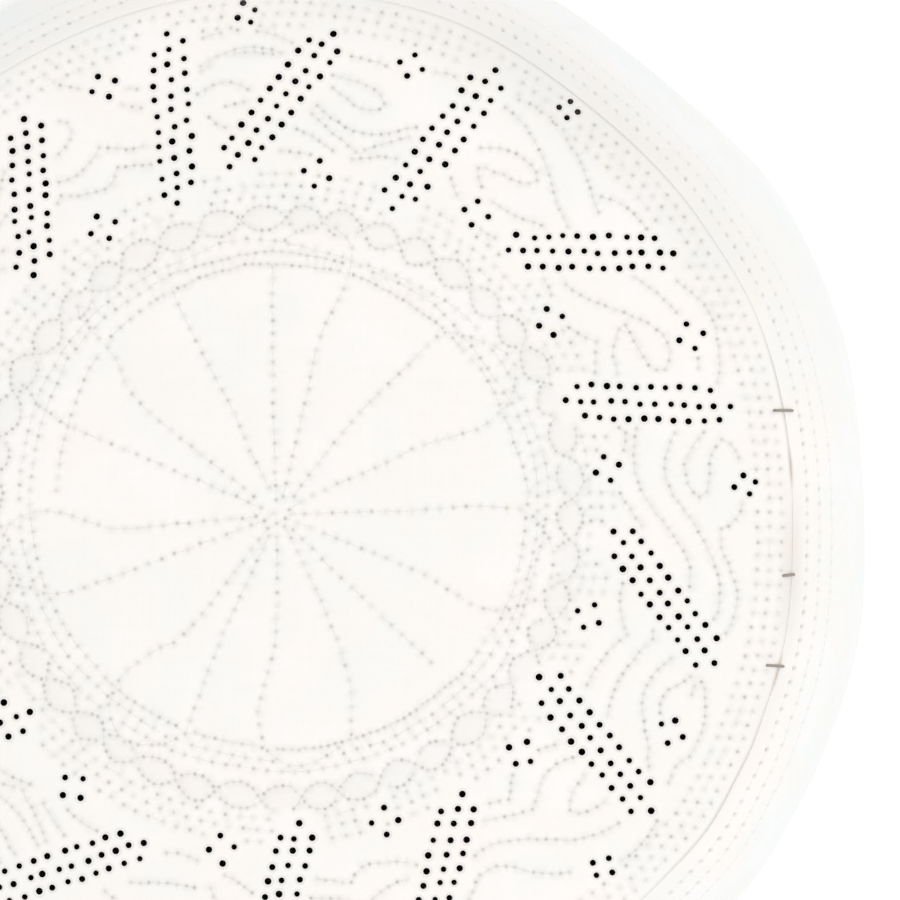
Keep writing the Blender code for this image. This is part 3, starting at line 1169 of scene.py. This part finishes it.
def edge_points(inset, count, start=0.0):
    """Points evenly round the crown, this far inside its edge."""
    points = []
    for k in range(count):
        angle = 360 * (k + start) / count
        radius = SEAM_RADIUS * seam_share(angle) - SEAM_GAP / 2 - inset
        points.append(out_along(angle) * radius)
    return points


def loop_edges(first, count):
    """The edges of a closed loop of points."""
    return [(first + k, first + (k + 1) % count) for k in range(count)]


def crown_base(plan, hole_radius):
    """The points that both faces of the crown share: its edge and its eyelet holes."""
    points = edge_points(-SEAM_CLOSE, EDGE_STEPS)
    tags = [0] * EDGE_STEPS
    loops = loop_edges(0, EDGE_STEPS)
    for index, (middle, size) in enumerate(plan.eyelets):
        loops += loop_edges(len(points), HOLE_SIDES)
        points += ring_of(middle, hole_radius * size, HOLE_SIDES)
        tags += [index + 1] * HOLE_SIDES
    return points, tags, loops


def field_points(spacing, clear, trees, inset):
    """A grid of points over the crown, kept clear of the points in the trees."""
    found = []
    rows = int(SEAM_RADIUS * 2.1 / (spacing * GRID_ROW))
    for row in range(-rows // 2, rows // 2 + 1):
        for column in range(-rows // 2, rows // 2 + 1):
            spot = Vector(((column + 0.5 * (row % 2)) * spacing, row * spacing * GRID_ROW))
            edge = SEAM_RADIUS * seam_share(angle_of(spot.x, spot.y)) - inset
            if spot.length > edge:
                continue
            if all(nearest(tree, spot) > reach for tree, reach in zip(trees, clear)):
                found.append(spot)
    return found


def make_crown_cloth(plan, sizes, material):
    """The crown's two quilted layers, with every needle hole and eyelet in the mesh."""
    hole = sizes.eyelet_radius + 0.5 * sizes.eyelet_cord
    points, tags, loops = crown_base(plan, hole)
    shared = len(points)
    # The needle attribute is painted shade: in the seam's groove along the edge, inside the eyelets, at the
    # bottom of needle holes and round their dimples.
    needle = [seam_groove_shade(360 * k / EDGE_STEPS) for k in range(EDGE_STEPS)]
    needle += [EYELET_SHADE] * (shared - EDGE_STEPS)
    drop = [0.0] * shared

    def add(spots, dark=0.0, low=0.0):
        points.extend(spots)
        needle.extend([dark] * len(spots))
        drop.extend([low] * len(spots))

    for inset, start in EDGE_RINGS:
        ring = edge_points(inset, EDGE_STEPS, start)
        add([spot for spot in ring if nearest(plan.eyelet_tree, spot) > EDGE_RING_ROOM])
    for middle, size in plan.eyelets:
        ring = ring_of(middle, COLLAR_RADIUS * size, COLLAR_POINTS, 0.3)
        others = [plan.eyelet_tree.find_n((spot.x, spot.y, 0), 2)[1][2] for spot in ring]
        add([spot for spot, away in zip(ring, others) if away > COLLAR_ROOM])
    chance = random.Random(SHADE_SEED)
    for middle in plan.stitches:
        shown = chance.choice(NEEDLE_SHARES)
        least, more = HOLE_DEPTHS
        add([middle], shown, sizes.pit_depth * (least + more * shown))
        add(ring_of(middle, sizes.pit_radius, DIMPLE_SIDES), DIMPLE_SHADE)
    trees = [plan.stitch_tree, plan.eyelet_tree]
    add(field_points(FIELD_SPACING, [FIELD_TO_HOLE, FIELD_TO_EYELET], trees, FIELD_TO_EDGE))
    tags += [-1] * (len(points) - len(tags))
    faces = triangulate(points, tags, loops)
    body = [(p.x, p.y, crown_skin(p, plan, sizes) - low) for p, low in zip(points, drop)]

    under, under_tags, under_loops = crown_base(plan, hole)
    trees = [plan.eyelet_tree]
    under += field_points(UNDERSIDE_SPACING, [UNDERSIDE_TO_EYELET], trees, UNDERSIDE_TO_EDGE)
    under_tags += [-1] * (len(under) - len(under_tags))
    first = len(body)
    body += [(p.x, p.y, crown_top(p) - sizes.cloth_thickness) for p in under]
    for corners in triangulate(under, under_tags, under_loops):
        faces.append([first + corner for corner in reversed(corners)])
    for a, b in loops:
        faces.append([b, a, first + a, first + b])
    needle += [0.0] * len(under)
    faces = turned_outwards(body, faces)
    tint = [seam_mark(x, y, STAINS) for x, y, _ in body]
    # The grey attribute: the scallops' greyer filling, and painted shade along the seam.
    grey = [PAD_SHADE * pad_share(Vector((x, y))) + seam_mark(x, y, SEAM_PAINTED_SHADE) for x, y, _ in body]
    marks = {"needle": needle, "tint": tint, "grey": grey}
    return new_piece("crown_cloth", body, faces, material, marks)


def pad_share(place):
    """How far a place is inside one of the padded scallops, from nothing to one."""
    outward, right, up = SCALLOP_RING
    middle = at(0, 0.0, right, up)
    away = place - middle
    phase = scallop_phase(angle_of(away.x, away.y))
    half = SCALLOP_HALF_HEIGHT * abs(math.sin(phase)) ** SCALLOP_BLUNTNESS * SEAM_RADIUS
    inside = half - abs(away.length - outward * SEAM_RADIUS)
    return clamp(inside / PAD_EDGE)


def turned_outwards(points, faces):
    """The same faces, with their normals made to agree and to point outwards."""
    mesh = bmesh.new()
    corners = [mesh.verts.new(point) for point in points]
    for face in faces:
        mesh.faces.new([corners[corner] for corner in face])
    bmesh.ops.recalc_face_normals(mesh, faces=mesh.faces)
    mesh.verts.index_update()
    made = [[corner.index for corner in face.verts] for face in mesh.faces]
    mesh.free()
    return made


def seam_mark(x, y, rows):
    """How strongly the marks in these rows show here, from their places along the seam."""
    angle = angle_of(x, y)
    outward = math.hypot(x, y) - SEAM_RADIUS * seam_share(angle)
    most = 0.0
    for middle, half, reach, strength in rows:
        most = max(most, strength * hill(apart(angle, middle), half) * hill(outward, reach))
    return most


def seam_groove_shade(angle):
    """How much painted shade the cloth's edge gets here, in the seam's groove."""
    most = SEAM_GROOVE_SHADE_LEAST
    for middle, half, strength in SEAM_GROOVE_SHADES:
        most = max(most, strength * hill(apart(angle, middle), half))
    return most


# The side band


class BandPlan:
    """The side band's outer line from the seam to the rim, measured along the cloth."""

    def __init__(self):
        seam = SEAM_RADIUS + SEAM_GAP / 2 - SEAM_CLOSE
        flare = RIM_RADIUS - BAND_EASE - seam
        points = [Vector((seam + flare * out, SEAM_HEIGHT * up)) for up, out in BAND_LINE]
        self.line = curve_through(points)
        self.along = [0.0]
        for a, b in zip(self.line, self.line[1:]):
            self.along.append(self.along[-1] + (b - a).length)
        self.length = self.along[-1]

    def at(self, distance):
        """(place, outward direction) on the line, this far from the seam."""
        distance = clamp(distance, 0.0, self.length)
        low, high = 0, len(self.along) - 1
        while high - low > 1:
            middle = (low + high) // 2
            low, high = (middle, high) if self.along[middle] <= distance else (low, middle)
        a, b = self.line[low], self.line[high]
        part = (distance - self.along[low]) / max(self.along[high] - self.along[low], TINY)
        before = self.line[max(low - 3, 0)]
        after = self.line[min(high + 3, len(self.line) - 1)]
        run = (after - before).normalized()
        return a.lerp(b, part), Vector((-run.y, run.x))


def pressed(radius, angle, height):
    """The radius where the soft cloth really stands, for a place on the true round form."""
    level = clamp(height / SEAM_HEIGHT)
    blend = smooth_step(level)
    share = near_share(angle, RIM_COLUMN) * (1 - blend) + near_share(angle, SEAM_COLUMN) * blend
    return radius * share + swell(angle, level)


def band_place(angle, radius, height):
    """A point of the side band, with the soft cloth's form."""
    reach = pressed(radius, angle, height)
    return (reach * math.cos(math.radians(angle)), reach * math.sin(math.radians(angle)), height)


def band_rows(line):
    """Each row of stitches on the band: its distance from the seam and its strength."""
    return BAND_ROWS + [(line.length - up, strength) for up, strength in HEM_ROWS]


def band_rings(line, rows):
    """Rings of the band's mesh: the distance from the seam, the row and the share of its depth."""
    rings = {distance: (None, 0.0) for distance in BAND_TOP_RINGS}
    for index, (row, _) in enumerate(rows):
        rings[row - BAND_ROW_WIDTH] = (None, 0.0)
        rings[row - BAND_ROW_WIDTH / 2] = (index, BAND_ROW_SIDE)
        rings[row] = (index, 1.0)
        rings[row + BAND_ROW_WIDTH / 2] = (index, BAND_ROW_SIDE)
        rings[row + BAND_ROW_WIDTH] = (None, 0.0)
    ends = [BAND_TOP_RINGS[-1], *(row for row, _ in rows), line.length - FOLD_RADIUS]
    for a, b in zip(ends, ends[1:]):
        gap = (b - a) - 2 * BAND_ROW_WIDTH
        count = max(int(gap / BAND_RING_GAP), 1)
        for k in range(1, count + 1):
            rings[a + BAND_ROW_WIDTH + gap * k / (count + 1)] = (None, 0.0)
    rings[line.length - FOLD_RADIUS] = (None, 0.0)
    return [(distance, *rings[distance]) for distance in sorted(rings)]


def first_hole(row):
    """The column of a band row's first needle hole, so that rows don't stand in line."""
    return (row * 3 + row // 2) % BAND_HOLE_STEP


def sewn_strength(distance, rows):
    """How firmly the band is sewn here, eased from each row to the next."""
    ends = [(0.0, 1.0), *rows, (FAR, rows[-1][1])]
    return table_value(ends, distance, 1)


def bridge(here, there, count):
    """Faces between two closed rings of points, from the first point of each."""
    steps = [(k, (k + 1) % count) for k in range(count)]
    return [(here + k, there + k, there + after, here + after) for k, after in steps]


def band_inside(line, sizes):
    """The inside's line from the fold up to the edge that is sewn under the crown."""
    inner = []
    foot, _ = line.at(line.length)
    for turn in range(1, FOLD_STEPS):
        angle = math.pi * turn / FOLD_STEPS
        across = FOLD_RADIUS * (1 - math.cos(angle))
        inner.append((foot.x - across, FOLD_RADIUS * (1 - math.sin(angle))))
    inner += [(foot.x - 2 * FOLD_RADIUS, HEM_HEIGHT * share) for share in HEM_INSIDE]
    inner.append((foot.x - sizes.cloth_thickness, HEM_EDGE))
    top = line.length - HEM_EDGE
    for share in WALL_INSIDE:
        place, out = line.at(top * share)
        inner.append((place.x - out.x * sizes.cloth_thickness, place.y - out.y * sizes.cloth_thickness))
    level = SEAM_HEIGHT - sizes.cloth_thickness - SEAM_GAP - TUCK_GAP
    return inner + [(SEAM_RADIUS + outward, level + up) for outward, up in TUCK]


def make_band_cloth(sizes, material):
    """The side band's two layers, its turned hem and the edge sewn under the crown."""
    line = BandPlan()
    rows = band_rows(line)
    rings = band_rings(line, rows)
    chance = random.Random(BAND_SEED)
    points, needle, tint, grey = [], [], [], []
    holes = BAND_STEPS // BAND_HOLE_STEP + 1
    shown_holes = [[chance.uniform(*BAND_HOLE_SHARES) for _ in range(holes)] for _ in rows]
    for distance, row, depth_share in rings:
        place, out = line.at(distance)
        stitched = min([abs(distance - other) for other, _ in rows] + [distance])
        strength = sewn_strength(distance, rows)
        rise = puff(stitched, sizes) * strength
        roll = EDGE_ROLL * max(1 - distance / EDGE_ROLL_WIDTH, 0.0) ** 2
        for column in range(BAND_STEPS):
            angle = 360 * column / BAND_STEPS
            shown = 0.0
            if row is not None and column % BAND_HOLE_STEP == first_hole(row):
                shown = strength * depth_share * shown_holes[row][column // BAND_HOLE_STEP]
            depth = sizes.pit_depth * shown
            radius = place.x + out.x * (rise - depth)
            height = place.y + out.y * (rise - depth) - roll
            x, y, z = band_place(angle, radius, height)
            points.append((x, y, z))
            # The needle mark is painted shade, in the seam's groove on the top ring and in the needle holes;
            # the grey mark is painted shade along the seam.
            needle.append(seam_groove_shade(angle) if distance == 0.0 else shown)
            marked = distance < MARKED_BELOW
            tint.append(seam_mark(x, y, STAINS) if marked else 0.0)
            grey.append(seam_mark(x, y, SEAM_PAINTED_SHADE) if marked else 0.0)
    inner = band_inside(line, sizes)
    for radius, height in inner:
        for column in range(BAND_STEPS):
            points.append(band_place(360 * column / BAND_STEPS, radius, height))
    for marks in (needle, tint, grey):
        marks += [0.0] * (len(points) - len(marks))
    faces = []
    total = len(rings) + len(inner)
    for ring in range(total):
        faces += bridge(ring * BAND_STEPS, (ring + 1) % total * BAND_STEPS, BAND_STEPS)
    faces = turned_outwards(points, faces)
    marks = {"needle": needle, "tint": tint, "grey": grey}
    return new_piece("band_cloth", points, faces, material, marks)


# Threads


def tube(sections, points, faces, sides=THREAD_SIDES):
    """Adds a short tube to the lists: each section is its middle, its up and its radius."""
    first = len(points)
    for index, (middle, up, radius) in enumerate(sections):
        before = sections[max(index - 1, 0)][0]
        after = sections[min(index + 1, len(sections) - 1)][0]
        side = (after - before).cross(up).normalized()
        for k in range(sides):
            turn = math.tau * k / sides
            points.append(tuple(middle + side * (radius * math.cos(turn)) + up * (radius * math.sin(turn))))
    for index in range(len(sections) - 1):
        here, there = first + index * sides, first + (index + 1) * sides
        for k in range(sides):
            after = (k + 1) % sides
            faces.append((here + k, here + after, there + after, there + k))


def stitch_sections(start, end, skin, sizes):
    """One stitch between two needle holes: up out of one, over, and down into the next."""
    sections = []
    for share, lift, thick in STITCH_FORM:
        middle, up = skin(start + (end - start) * share)
        sections.append((middle + up * (lift * sizes.thread_radius), up, thick * sizes.thread_radius))
    return sections


def make_crown_threads(plan, sizes, material):
    """The crown's rows of stitches, one piece for each kind of row."""

    def skin(place):
        return Vector((place.x, place.y, crown_top(place))), Vector((0, 0, 1))

    pieces = []
    for kind in CROWN_ROWS:
        points, faces = [], []
        for name, run in plan.runs:
            if name == kind:
                for start, end in zip(run, run[1:]):
                    tube(stitch_sections(start, end, skin, sizes), points, faces)
        pieces.append(new_piece(f"{kind}_stitching", points, faces, material))
    return pieces


def make_band_threads(sizes, material):
    """The side band's rows of stitches."""
    line = BandPlan()
    rows = band_rows(line)
    pieces = []
    for name, chosen in (("seam", range(len(BAND_ROWS))), ("hem", range(len(BAND_ROWS), len(rows)))):
        points, faces = [], []
        for index in chosen:
            place, out = line.at(rows[index][0])

            def skin(spot):
                x, y, z = band_place(spot.x, place.x, place.y)
                turn = math.radians(spot.x)
                return Vector((x, y, z)), Vector((out.x * math.cos(turn), out.x * math.sin(turn), out.y))

            for column in range(first_hole(index), BAND_STEPS, BAND_HOLE_STEP):
                start = Vector((360 * column / BAND_STEPS, 0.0))
                end = Vector((360 * (column + BAND_HOLE_STEP) / BAND_STEPS, 0.0))
                tube(stitch_sections(start, end, skin, sizes), points, faces)
        pieces.append(new_piece(f"{name}_stitching", points, faces, material))
    return pieces


def make_eyelet_stitching(plan, sizes, material):
    """The buttonhole stitching round each eyelet: a ring of thread with radial ridges."""
    points, faces = [], []
    chance = random.Random(THREAD_SEED)
    for middle, size in plan.eyelets:
        first = len(points)
        cord = sizes.eyelet_cord * size
        major = sizes.eyelet_radius * size + cord
        start = chance.uniform(0, math.tau)
        for step in range(EYELET_STEPS):
            turn = start + math.tau * step / EYELET_STEPS
            out = Vector((math.cos(turn), math.sin(turn)))
            ridge = cord * EYELET_RIDGES[step % 2]
            spot = middle + out * major
            level = crown_skin(spot, plan, sizes) - EYELET_SINK
            for k in range(EYELET_SIDES):
                lean = math.tau * k / EYELET_SIDES
                place = middle + out * (major + ridge * math.cos(lean))
                points.append((place.x, place.y, level + ridge * math.sin(lean)))
        for step in range(EYELET_STEPS):
            there = first + (step + 1) % EYELET_STEPS * EYELET_SIDES
            faces += bridge(first + step * EYELET_SIDES, there, EYELET_SIDES)
    return new_piece("eyelet_stitching", points, faces, material)


def make_seam_ties(material):
    """Three hand stitches in dark thread that cross the seam."""
    points, faces = [], []
    for angle, inward, outward, lean in SEAM_TIES:
        radius = SEAM_RADIUS * seam_share(angle)
        run = out_along(lean).to_3d()
        middle = (out_along(angle) * radius).to_3d()
        sections = []
        for share in TIE_SHARES:
            spot = middle + run * (-inward + (inward + outward) * share)
            ends = share in (0.0, 1.0)
            past = max(spot.xy.length - radius, 0.0)
            spot.z = crown_top(spot.xy) - TIE_SLOPE * past + (-TIE_END_DEPTH if ends else TIE_LIFT)
            sections.append((spot, Vector((0, 0, 1)), TIE_RADIUS * (0.5 if ends else 1.0)))
        tube(sections, points, faces, TIE_SIDES)
    return new_piece("seam_ties", points, faces, material)


def smooth_line(rows):
    """A table's points with a smooth line drawn through them."""
    return curve_through([Vector((a, b)) for a, b in rows], step=0.01)


CROWN_CURVE = smooth_line(CROWN_LINE)


# Materials


def add_node(tree, kind, settings=None, inputs=None, links=None):
    """One shader node, with its own settings, its inputs' values and what feeds it."""
    made = tree.nodes.new(kind)
    for name, value in (settings or {}).items():
        setattr(made, name, value)
    for name, value in (inputs or {}).items():
        made.inputs[name].default_value = value
    for name, socket in (links or {}).items():
        tree.links.new(socket, made.inputs[name])
    return made


def new_material(name):
    """An empty material, its node tree, and the place on the object that it colours."""
    material = bpy.data.materials.new(name)
    material.use_nodes = True
    tree = material.node_tree
    tree.nodes.clear()
    return material, tree, add_node(tree, "ShaderNodeTexCoord").outputs["Object"]


def surface(tree, inputs, links):
    """The one shader of a material, and its output."""
    shader = add_node(tree, "ShaderNodeBsdfPrincipled", {}, inputs, links)
    add_node(tree, "ShaderNodeOutputMaterial", links={"Surface": shader.outputs["BSDF"]})


def eased(tree, socket, low, high, most=1.0):
    """A value that rises smoothly from nothing at the low end to its most at the high end."""
    inputs = {"From Min": low, "From Max": high, "To Min": 0.0, "To Max": most}
    settings = {"interpolation_type": "SMOOTHSTEP"}
    return add_node(tree, "ShaderNodeMapRange", settings, inputs, {"Value": socket}).outputs["Result"]


def mixed(tree, share, first, second, blend="MIX"):
    """A colour mix whose share and colours are each a socket or a value."""
    mix = add_node(tree, "ShaderNodeMix", {"data_type": "RGBA", "blend_type": blend})
    for slot, value in ((0, share), (6, first), (7, second)):
        if isinstance(value, bpy.types.NodeSocket):
            tree.links.new(value, mix.inputs[slot])
        else:
            mix.inputs[slot].default_value = value
    return mix.outputs[2]


def scaled(tree, socket, factor):
    """A value times a factor."""
    maths = add_node(tree, "ShaderNodeMath", {"operation": "MULTIPLY"}, links={0: socket})
    maths.inputs[1].default_value = factor
    return maths.outputs[0]


def added(tree, *sockets):
    """The sum of several values."""
    total = sockets[0]
    for socket in sockets[1:]:
        total = add_node(tree, "ShaderNodeMath", {"operation": "ADD"}, links={0: total, 1: socket}).outputs[0]
    return total


def wave(tree, place, direction, period):
    """A stripe pattern with this real distance from one stripe to the next, in metres."""
    return add_node(
        tree,
        "ShaderNodeTexWave",
        {"wave_type": "BANDS", "bands_direction": direction},
        {"Scale": STRIPE_AT_ONE / period, "Distortion": 0.0, "Detail": 0.0},
        {"Vector": place},
    ).outputs["Fac"]


def noise(tree, place, size):
    """Cloudy variation with patches of about this real size, in metres."""
    inputs = {"Scale": 1 / size, "Detail": 3.0, "Roughness": 0.55}
    return add_node(tree, "ShaderNodeTexNoise", {}, inputs, {"Vector": place}).outputs["Fac"]


def patches(tree, place, size):
    """The same noise, drawn out to clear patches with soft edges."""
    return eased(tree, noise(tree, place, size), *PATCH_EDGES)


def finish_cloth(tree, colour, height, distance, sheen=0.2, roughness=0.88):
    """The shader that every cotton surface ends in: matt fibre with a faint sheen."""
    bump = add_node(
        tree, "ShaderNodeBump", {}, {"Strength": 1.0, "Distance": distance}, {"Height": height}
    )
    inputs = {
        "Roughness": roughness,
        "IOR": 1.5,
        "Specular IOR Level": 0.25,
        "Sheen Weight": sheen,
        "Sheen Roughness": 0.5,
    }
    surface(tree, inputs, {"Base Color": colour, "Normal": bump.outputs["Normal"]})


def quilted_cotton(name, white, lower, colours):
    """Bleached cotton poplin, plain woven, washed soft and quilted by machine.

    Gives the eye a matt warm white with faint cloudy unevenness, a just visible weave,
    painted shade in needle holes, inside eyelets and in the seam's groove and, where the
    attributes say so, an old beige stain, greyer scallop pads and painted shade along the
    seam. On the side band the white is painted cooler and greyer down the wall, as shade.
    """
    material, tree, place = new_material(name)
    needle, tint, grey = [
        add_node(tree, "ShaderNodeAttribute", {"attribute_name": label}).outputs["Fac"]
        for label in ("needle", "tint", "grey")
    ]
    shade = (*colours.shade_fleck_and_pad_grey, 1.0)
    height = add_node(tree, "ShaderNodeSeparateXYZ", links={"Vector": place}).outputs["Z"]
    # Painted shade: the cotton turns to the cooler, greyer band colour down the wall.
    down = eased(tree, height, SEAM_HEIGHT, SEAM_HEIGHT - WALL_SHADE_BELOW)
    cotton = mixed(tree, down, (*white, 1.0), (*lower, 1.0))
    aged = mixed(tree, 1.0, cotton, AGED_SHARES, "MULTIPLY")
    cream = mixed(tree, 1.0, cotton, CREAM_SHARES, "MULTIPLY")
    cloudy = mixed(tree, patches(tree, place, AGED_PATCH), cotton, aged)
    creamy = mixed(tree, scaled(tree, patches(tree, place, CREAM_PATCH), CREAM_STRENGTH), cloudy, cream)
    flecks = scaled(tree, noise(tree, place, FLECK_SIZE), FLECK_STRENGTH)
    flecked = mixed(tree, flecks, creamy, shade)
    # The grey attribute greys the scallop pads, where their filling shows, and paints shade along the seam.
    greyed = mixed(tree, grey, flecked, shade)
    stained = mixed(tree, scaled(tree, tint, STAIN_STRENGTH), greyed, (*colours.seam_tint, 1.0))
    # The needle attribute paints shade in needle holes, inside eyelets and in the seam's groove.
    colour = mixed(tree, needle, stained, shade)
    weave = added(
        tree,
        *(wave(tree, place, direction, WEAVE_PERIOD) for direction in "XYZ"),
        scaled(tree, noise(tree, place, SLUB_SIZE), SLUB_STRENGTH),
    )
    finish_cloth(tree, colour, weave, WEAVE_DEPTH)
    return material


def times(colour, share):
    """A colour with this share of its brightness."""
    return tuple(part * share for part in colour)


def thread_material(name, clean, worn, patch, roughness, twisted=True):
    """Thread in two close colours, over the ridges of its twist or of stitches side by side."""
    material, tree, place = new_material(name)
    colour = mixed(tree, noise(tree, place, patch), (*clean, 1.0), (*worn, 1.0))
    if twisted:
        height, depth = wave(tree, place, "DIAGONAL", THREAD_TWIST), TWIST_DEPTH
    else:
        height, depth = noise(tree, place, RIDGE_SIZE), RIDGE_DEPTH
    finish_cloth(tree, colour, height, depth, sheen=0.1, roughness=roughness)
    return material


def sewing_thread(name, white, shade):
    """Two-ply cotton sewing thread, bleached and lightly twisted.

    Gives the eye small rounded grains a touch smoother than the cloth under them.
    """
    # Painted shade: the thread is darkened by this share, for the groove it lies in.
    clean = times(white, shade)
    return thread_material(name, clean, times(clean, 0.96), patch=1.4 * MM, roughness=0.75)


def buttonhole_thread(name, white):
    """Cotton thread worked side by side over an eyelet's edge.

    Gives the eye a firm bright rim with fine ridges that run into the hole.
    """
    worn = times(white, 0.93)
    return thread_material(name, white, worn, patch=0.5 * MM, roughness=0.7, twisted=False)


def dark_thread(name):
    """Polyester mending thread, spun and grey-brown, which shows as short dark ticks."""
    dark, pale = hex_colour("#8e857b"), hex_colour("#a89f95")
    return thread_material(name, dark, pale, patch=0.6 * MM, roughness=0.7)


def light_table():
    """A white acrylic table top lit from below, but not where the cap stands on it.

    Gives the eye an even white ground on which nothing throws a visible shadow.
    """
    material, tree, place = new_material("white_acrylic_table")
    away = add_node(tree, "ShaderNodeVectorMath", {"operation": "LENGTH"}, links={0: place}).outputs["Value"]
    inputs = {
        "Base Color": (*hex_colour("#f4f4f3"), 1.0),
        "Roughness": 0.6,
        "IOR": 1.49,
        "Specular IOR Level": 0.1,
        "Emission Color": (1.0, 1.0, 1.0, 1.0),
    }
    surface(tree, inputs, {"Emission Strength": eased(tree, away, GLOW_FROM, GLOW_FULL, TABLE_GLOW)})
    return material


# Operators


class PRAYERCAP_OT_crown_stitching(bpy.types.Operator):
    """Makes the crown's rows of stitches: rays, rings, scallops and vines"""

    bl_idname = "prayer_cap.crown_stitching"
    bl_label = "Make crown stitching"

    def execute(self, context):
        white = context.scene.cap_colours.cotton
        thread = sewing_thread("bleached_cotton_thread_crown", white, CROWN_THREAD_SHADE)
        for piece in make_crown_threads(crown_plan(), context.scene.cap_sizes, thread):
            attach(piece, BODY)
        return {"FINISHED"}


class PRAYERCAP_OT_eyelets(bpy.types.Operator):
    """Makes the buttonhole stitching round every eyelet of the crown"""

    bl_idname = "prayer_cap.eyelets"
    bl_label = "Make eyelet stitching"

    def execute(self, context):
        thread = buttonhole_thread("worked_buttonhole_thread", context.scene.cap_colours.cotton)
        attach(make_eyelet_stitching(crown_plan(), context.scene.cap_sizes, thread), BODY)
        return {"FINISHED"}


class PRAYERCAP_OT_crown_cloth(bpy.types.Operator):
    """Makes the quilted crown under the stitches and eyelets, which are made before it"""

    bl_idname = "prayer_cap.crown_cloth"
    bl_label = "Make crown cloth"

    def execute(self, context):
        colours = context.scene.cap_colours
        cotton = quilted_cotton("bleached_cotton_poplin_crown", colours.cotton, colours.cotton, colours)
        crown = make_crown_cloth(crown_plan(), context.scene.cap_sizes, cotton)
        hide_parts("crown")
        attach(crown, BODY)
        return {"FINISHED"}


class PRAYERCAP_OT_band_stitching(bpy.types.Operator):
    """Makes the side band's rows of stitches, below the seam and along the hem"""

    bl_idname = "prayer_cap.band_stitching"
    bl_label = "Make side band stitching"

    def execute(self, context):
        white = context.scene.cap_colours.cotton
        thread = sewing_thread("bleached_cotton_thread_band", white, BAND_THREAD_SHADE)
        for piece in make_band_threads(context.scene.cap_sizes, thread):
            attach(piece, BODY)
        return {"FINISHED"}


class PRAYERCAP_OT_seam_ties(bpy.types.Operator):
    """Makes the three dark hand stitches that cross the seam"""

    bl_idname = "prayer_cap.seam_ties"
    bl_label = "Make seam ties"

    def execute(self, context):
        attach(make_seam_ties(dark_thread("grey_mending_thread")), BODY)
        return {"FINISHED"}


class PRAYERCAP_OT_band_cloth(bpy.types.Operator):
    """Makes the side band and its hem under the stitches, which are made before it"""

    bl_idname = "prayer_cap.band_cloth"
    bl_label = "Make side band cloth"

    def execute(self, context):
        colours = context.scene.cap_colours
        cotton = quilted_cotton("bleached_cotton_poplin_band", colours.cotton, colours.band_cotton, colours)
        band = make_band_cloth(context.scene.cap_sizes, cotton)
        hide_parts("side_band")
        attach(band, BODY)
        return {"FINISHED"}


class PRAYERCAP_OT_stage(bpy.types.Operator):
    """Makes the table, the light and the camera"""

    bl_idname = "prayer_cap.stage"
    bl_label = "Make stage"

    def execute(self, context):
        stage = context.scene.cap_stage
        scene = context.scene
        scene.view_settings.view_transform = "Standard"
        bpy.ops.mesh.primitive_plane_add(size=FLOOR_SIZE, location=(0, 0, 0))
        floor = context.object
        floor.name = "floor"
        floor.data.materials.append(light_table())
        world = bpy.data.worlds.new("studio_dome")
        scene.world = world
        world.use_nodes = True
        dome = world.node_tree.nodes["Background"]
        dome.inputs["Color"].default_value = (*hex_colour("#ffffff"), 1.0)
        dome.inputs["Strength"].default_value = stage.dome_strength
        lamp = bpy.data.lights.new("window_light", "AREA")
        lamp.shape = "DISK"
        lamp.size = LAMP_SIZE
        lamp.energy = stage.lamp_power
        lamp.color = hex_colour("#fffefd")
        light = new_object("window_light", lamp)
        light.location = LAMP_PLACE
        light.rotation_euler = (Vector(LAMP_AIM) - light.location).to_track_quat("-Z", "Y").to_euler()
        lens = bpy.data.cameras.new("camera")
        lens.lens = LENS
        lens.sensor_width = SENSOR
        lens.clip_end = CLIP_END
        camera = new_object("camera", lens)
        target = MIDDLE + Vector(TARGET) * MM
        camera.location = MIDDLE + Vector(CAMERA_PLACE) * MM + Vector((0, 0, stage.camera_distance))
        back = (camera.location - target).normalized()
        right = Vector((0, 1, 0)).cross(back).normalized()
        up = back.cross(right)
        camera.rotation_euler = Matrix((right, up, back)).transposed().to_euler()
        scene.camera = camera
        return {"FINISHED"}


class PRAYERCAP_PT_panel(bpy.types.Panel):
    """Lists what makes the cap"""

    bl_idname = "PRAYERCAP_PT_panel"
    bl_label = "Prayer Cap"
    bl_space_type = "VIEW_3D"
    bl_region_type = "UI"
    bl_category = "Prayer Cap"

    def draw(self, context):
        column = self.layout.column()
        for group in (context.scene.cap_sizes, context.scene.cap_colours, context.scene.cap_stage):
            for name in group.__annotations__:
                column.prop(group, name)
        for operator in OPERATORS:
            column.operator(operator.bl_idname)


# In the order in which they run.
OPERATORS = (
    PRAYERCAP_OT_stage,
    PRAYERCAP_OT_crown_stitching,
    PRAYERCAP_OT_eyelets,
    PRAYERCAP_OT_crown_cloth,
    PRAYERCAP_OT_band_stitching,
    PRAYERCAP_OT_seam_ties,
    PRAYERCAP_OT_band_cloth,
)
CLASSES = (CapSizes, CapColours, StageSettings, *OPERATORS, PRAYERCAP_PT_panel)


def register():
    """Adds the classes and their settings to the scene."""
    for item in CLASSES:
        bpy.utils.register_class(item)
    bpy.types.Scene.cap_sizes = PointerProperty(type=CapSizes)
    bpy.types.Scene.cap_colours = PointerProperty(type=CapColours)
    bpy.types.Scene.cap_stage = PointerProperty(type=StageSettings)


def unregister():
    """Takes the settings and the classes away again."""
    del bpy.types.Scene.cap_sizes
    del bpy.types.Scene.cap_colours
    del bpy.types.Scene.cap_stage
    for item in reversed(CLASSES):
        bpy.utils.unregister_class(item)


def main():
    """Makes the cap piece by piece."""
    register()
    bpy.ops.prayer_cap.stage()
    bpy.ops.prayer_cap.crown_stitching()
    bpy.ops.prayer_cap.eyelets()
    bpy.ops.prayer_cap.crown_cloth()
    bpy.ops.prayer_cap.band_stitching()
    bpy.ops.prayer_cap.seam_ties()
    bpy.ops.prayer_cap.band_cloth()


if __name__ == "__main__":
    main()
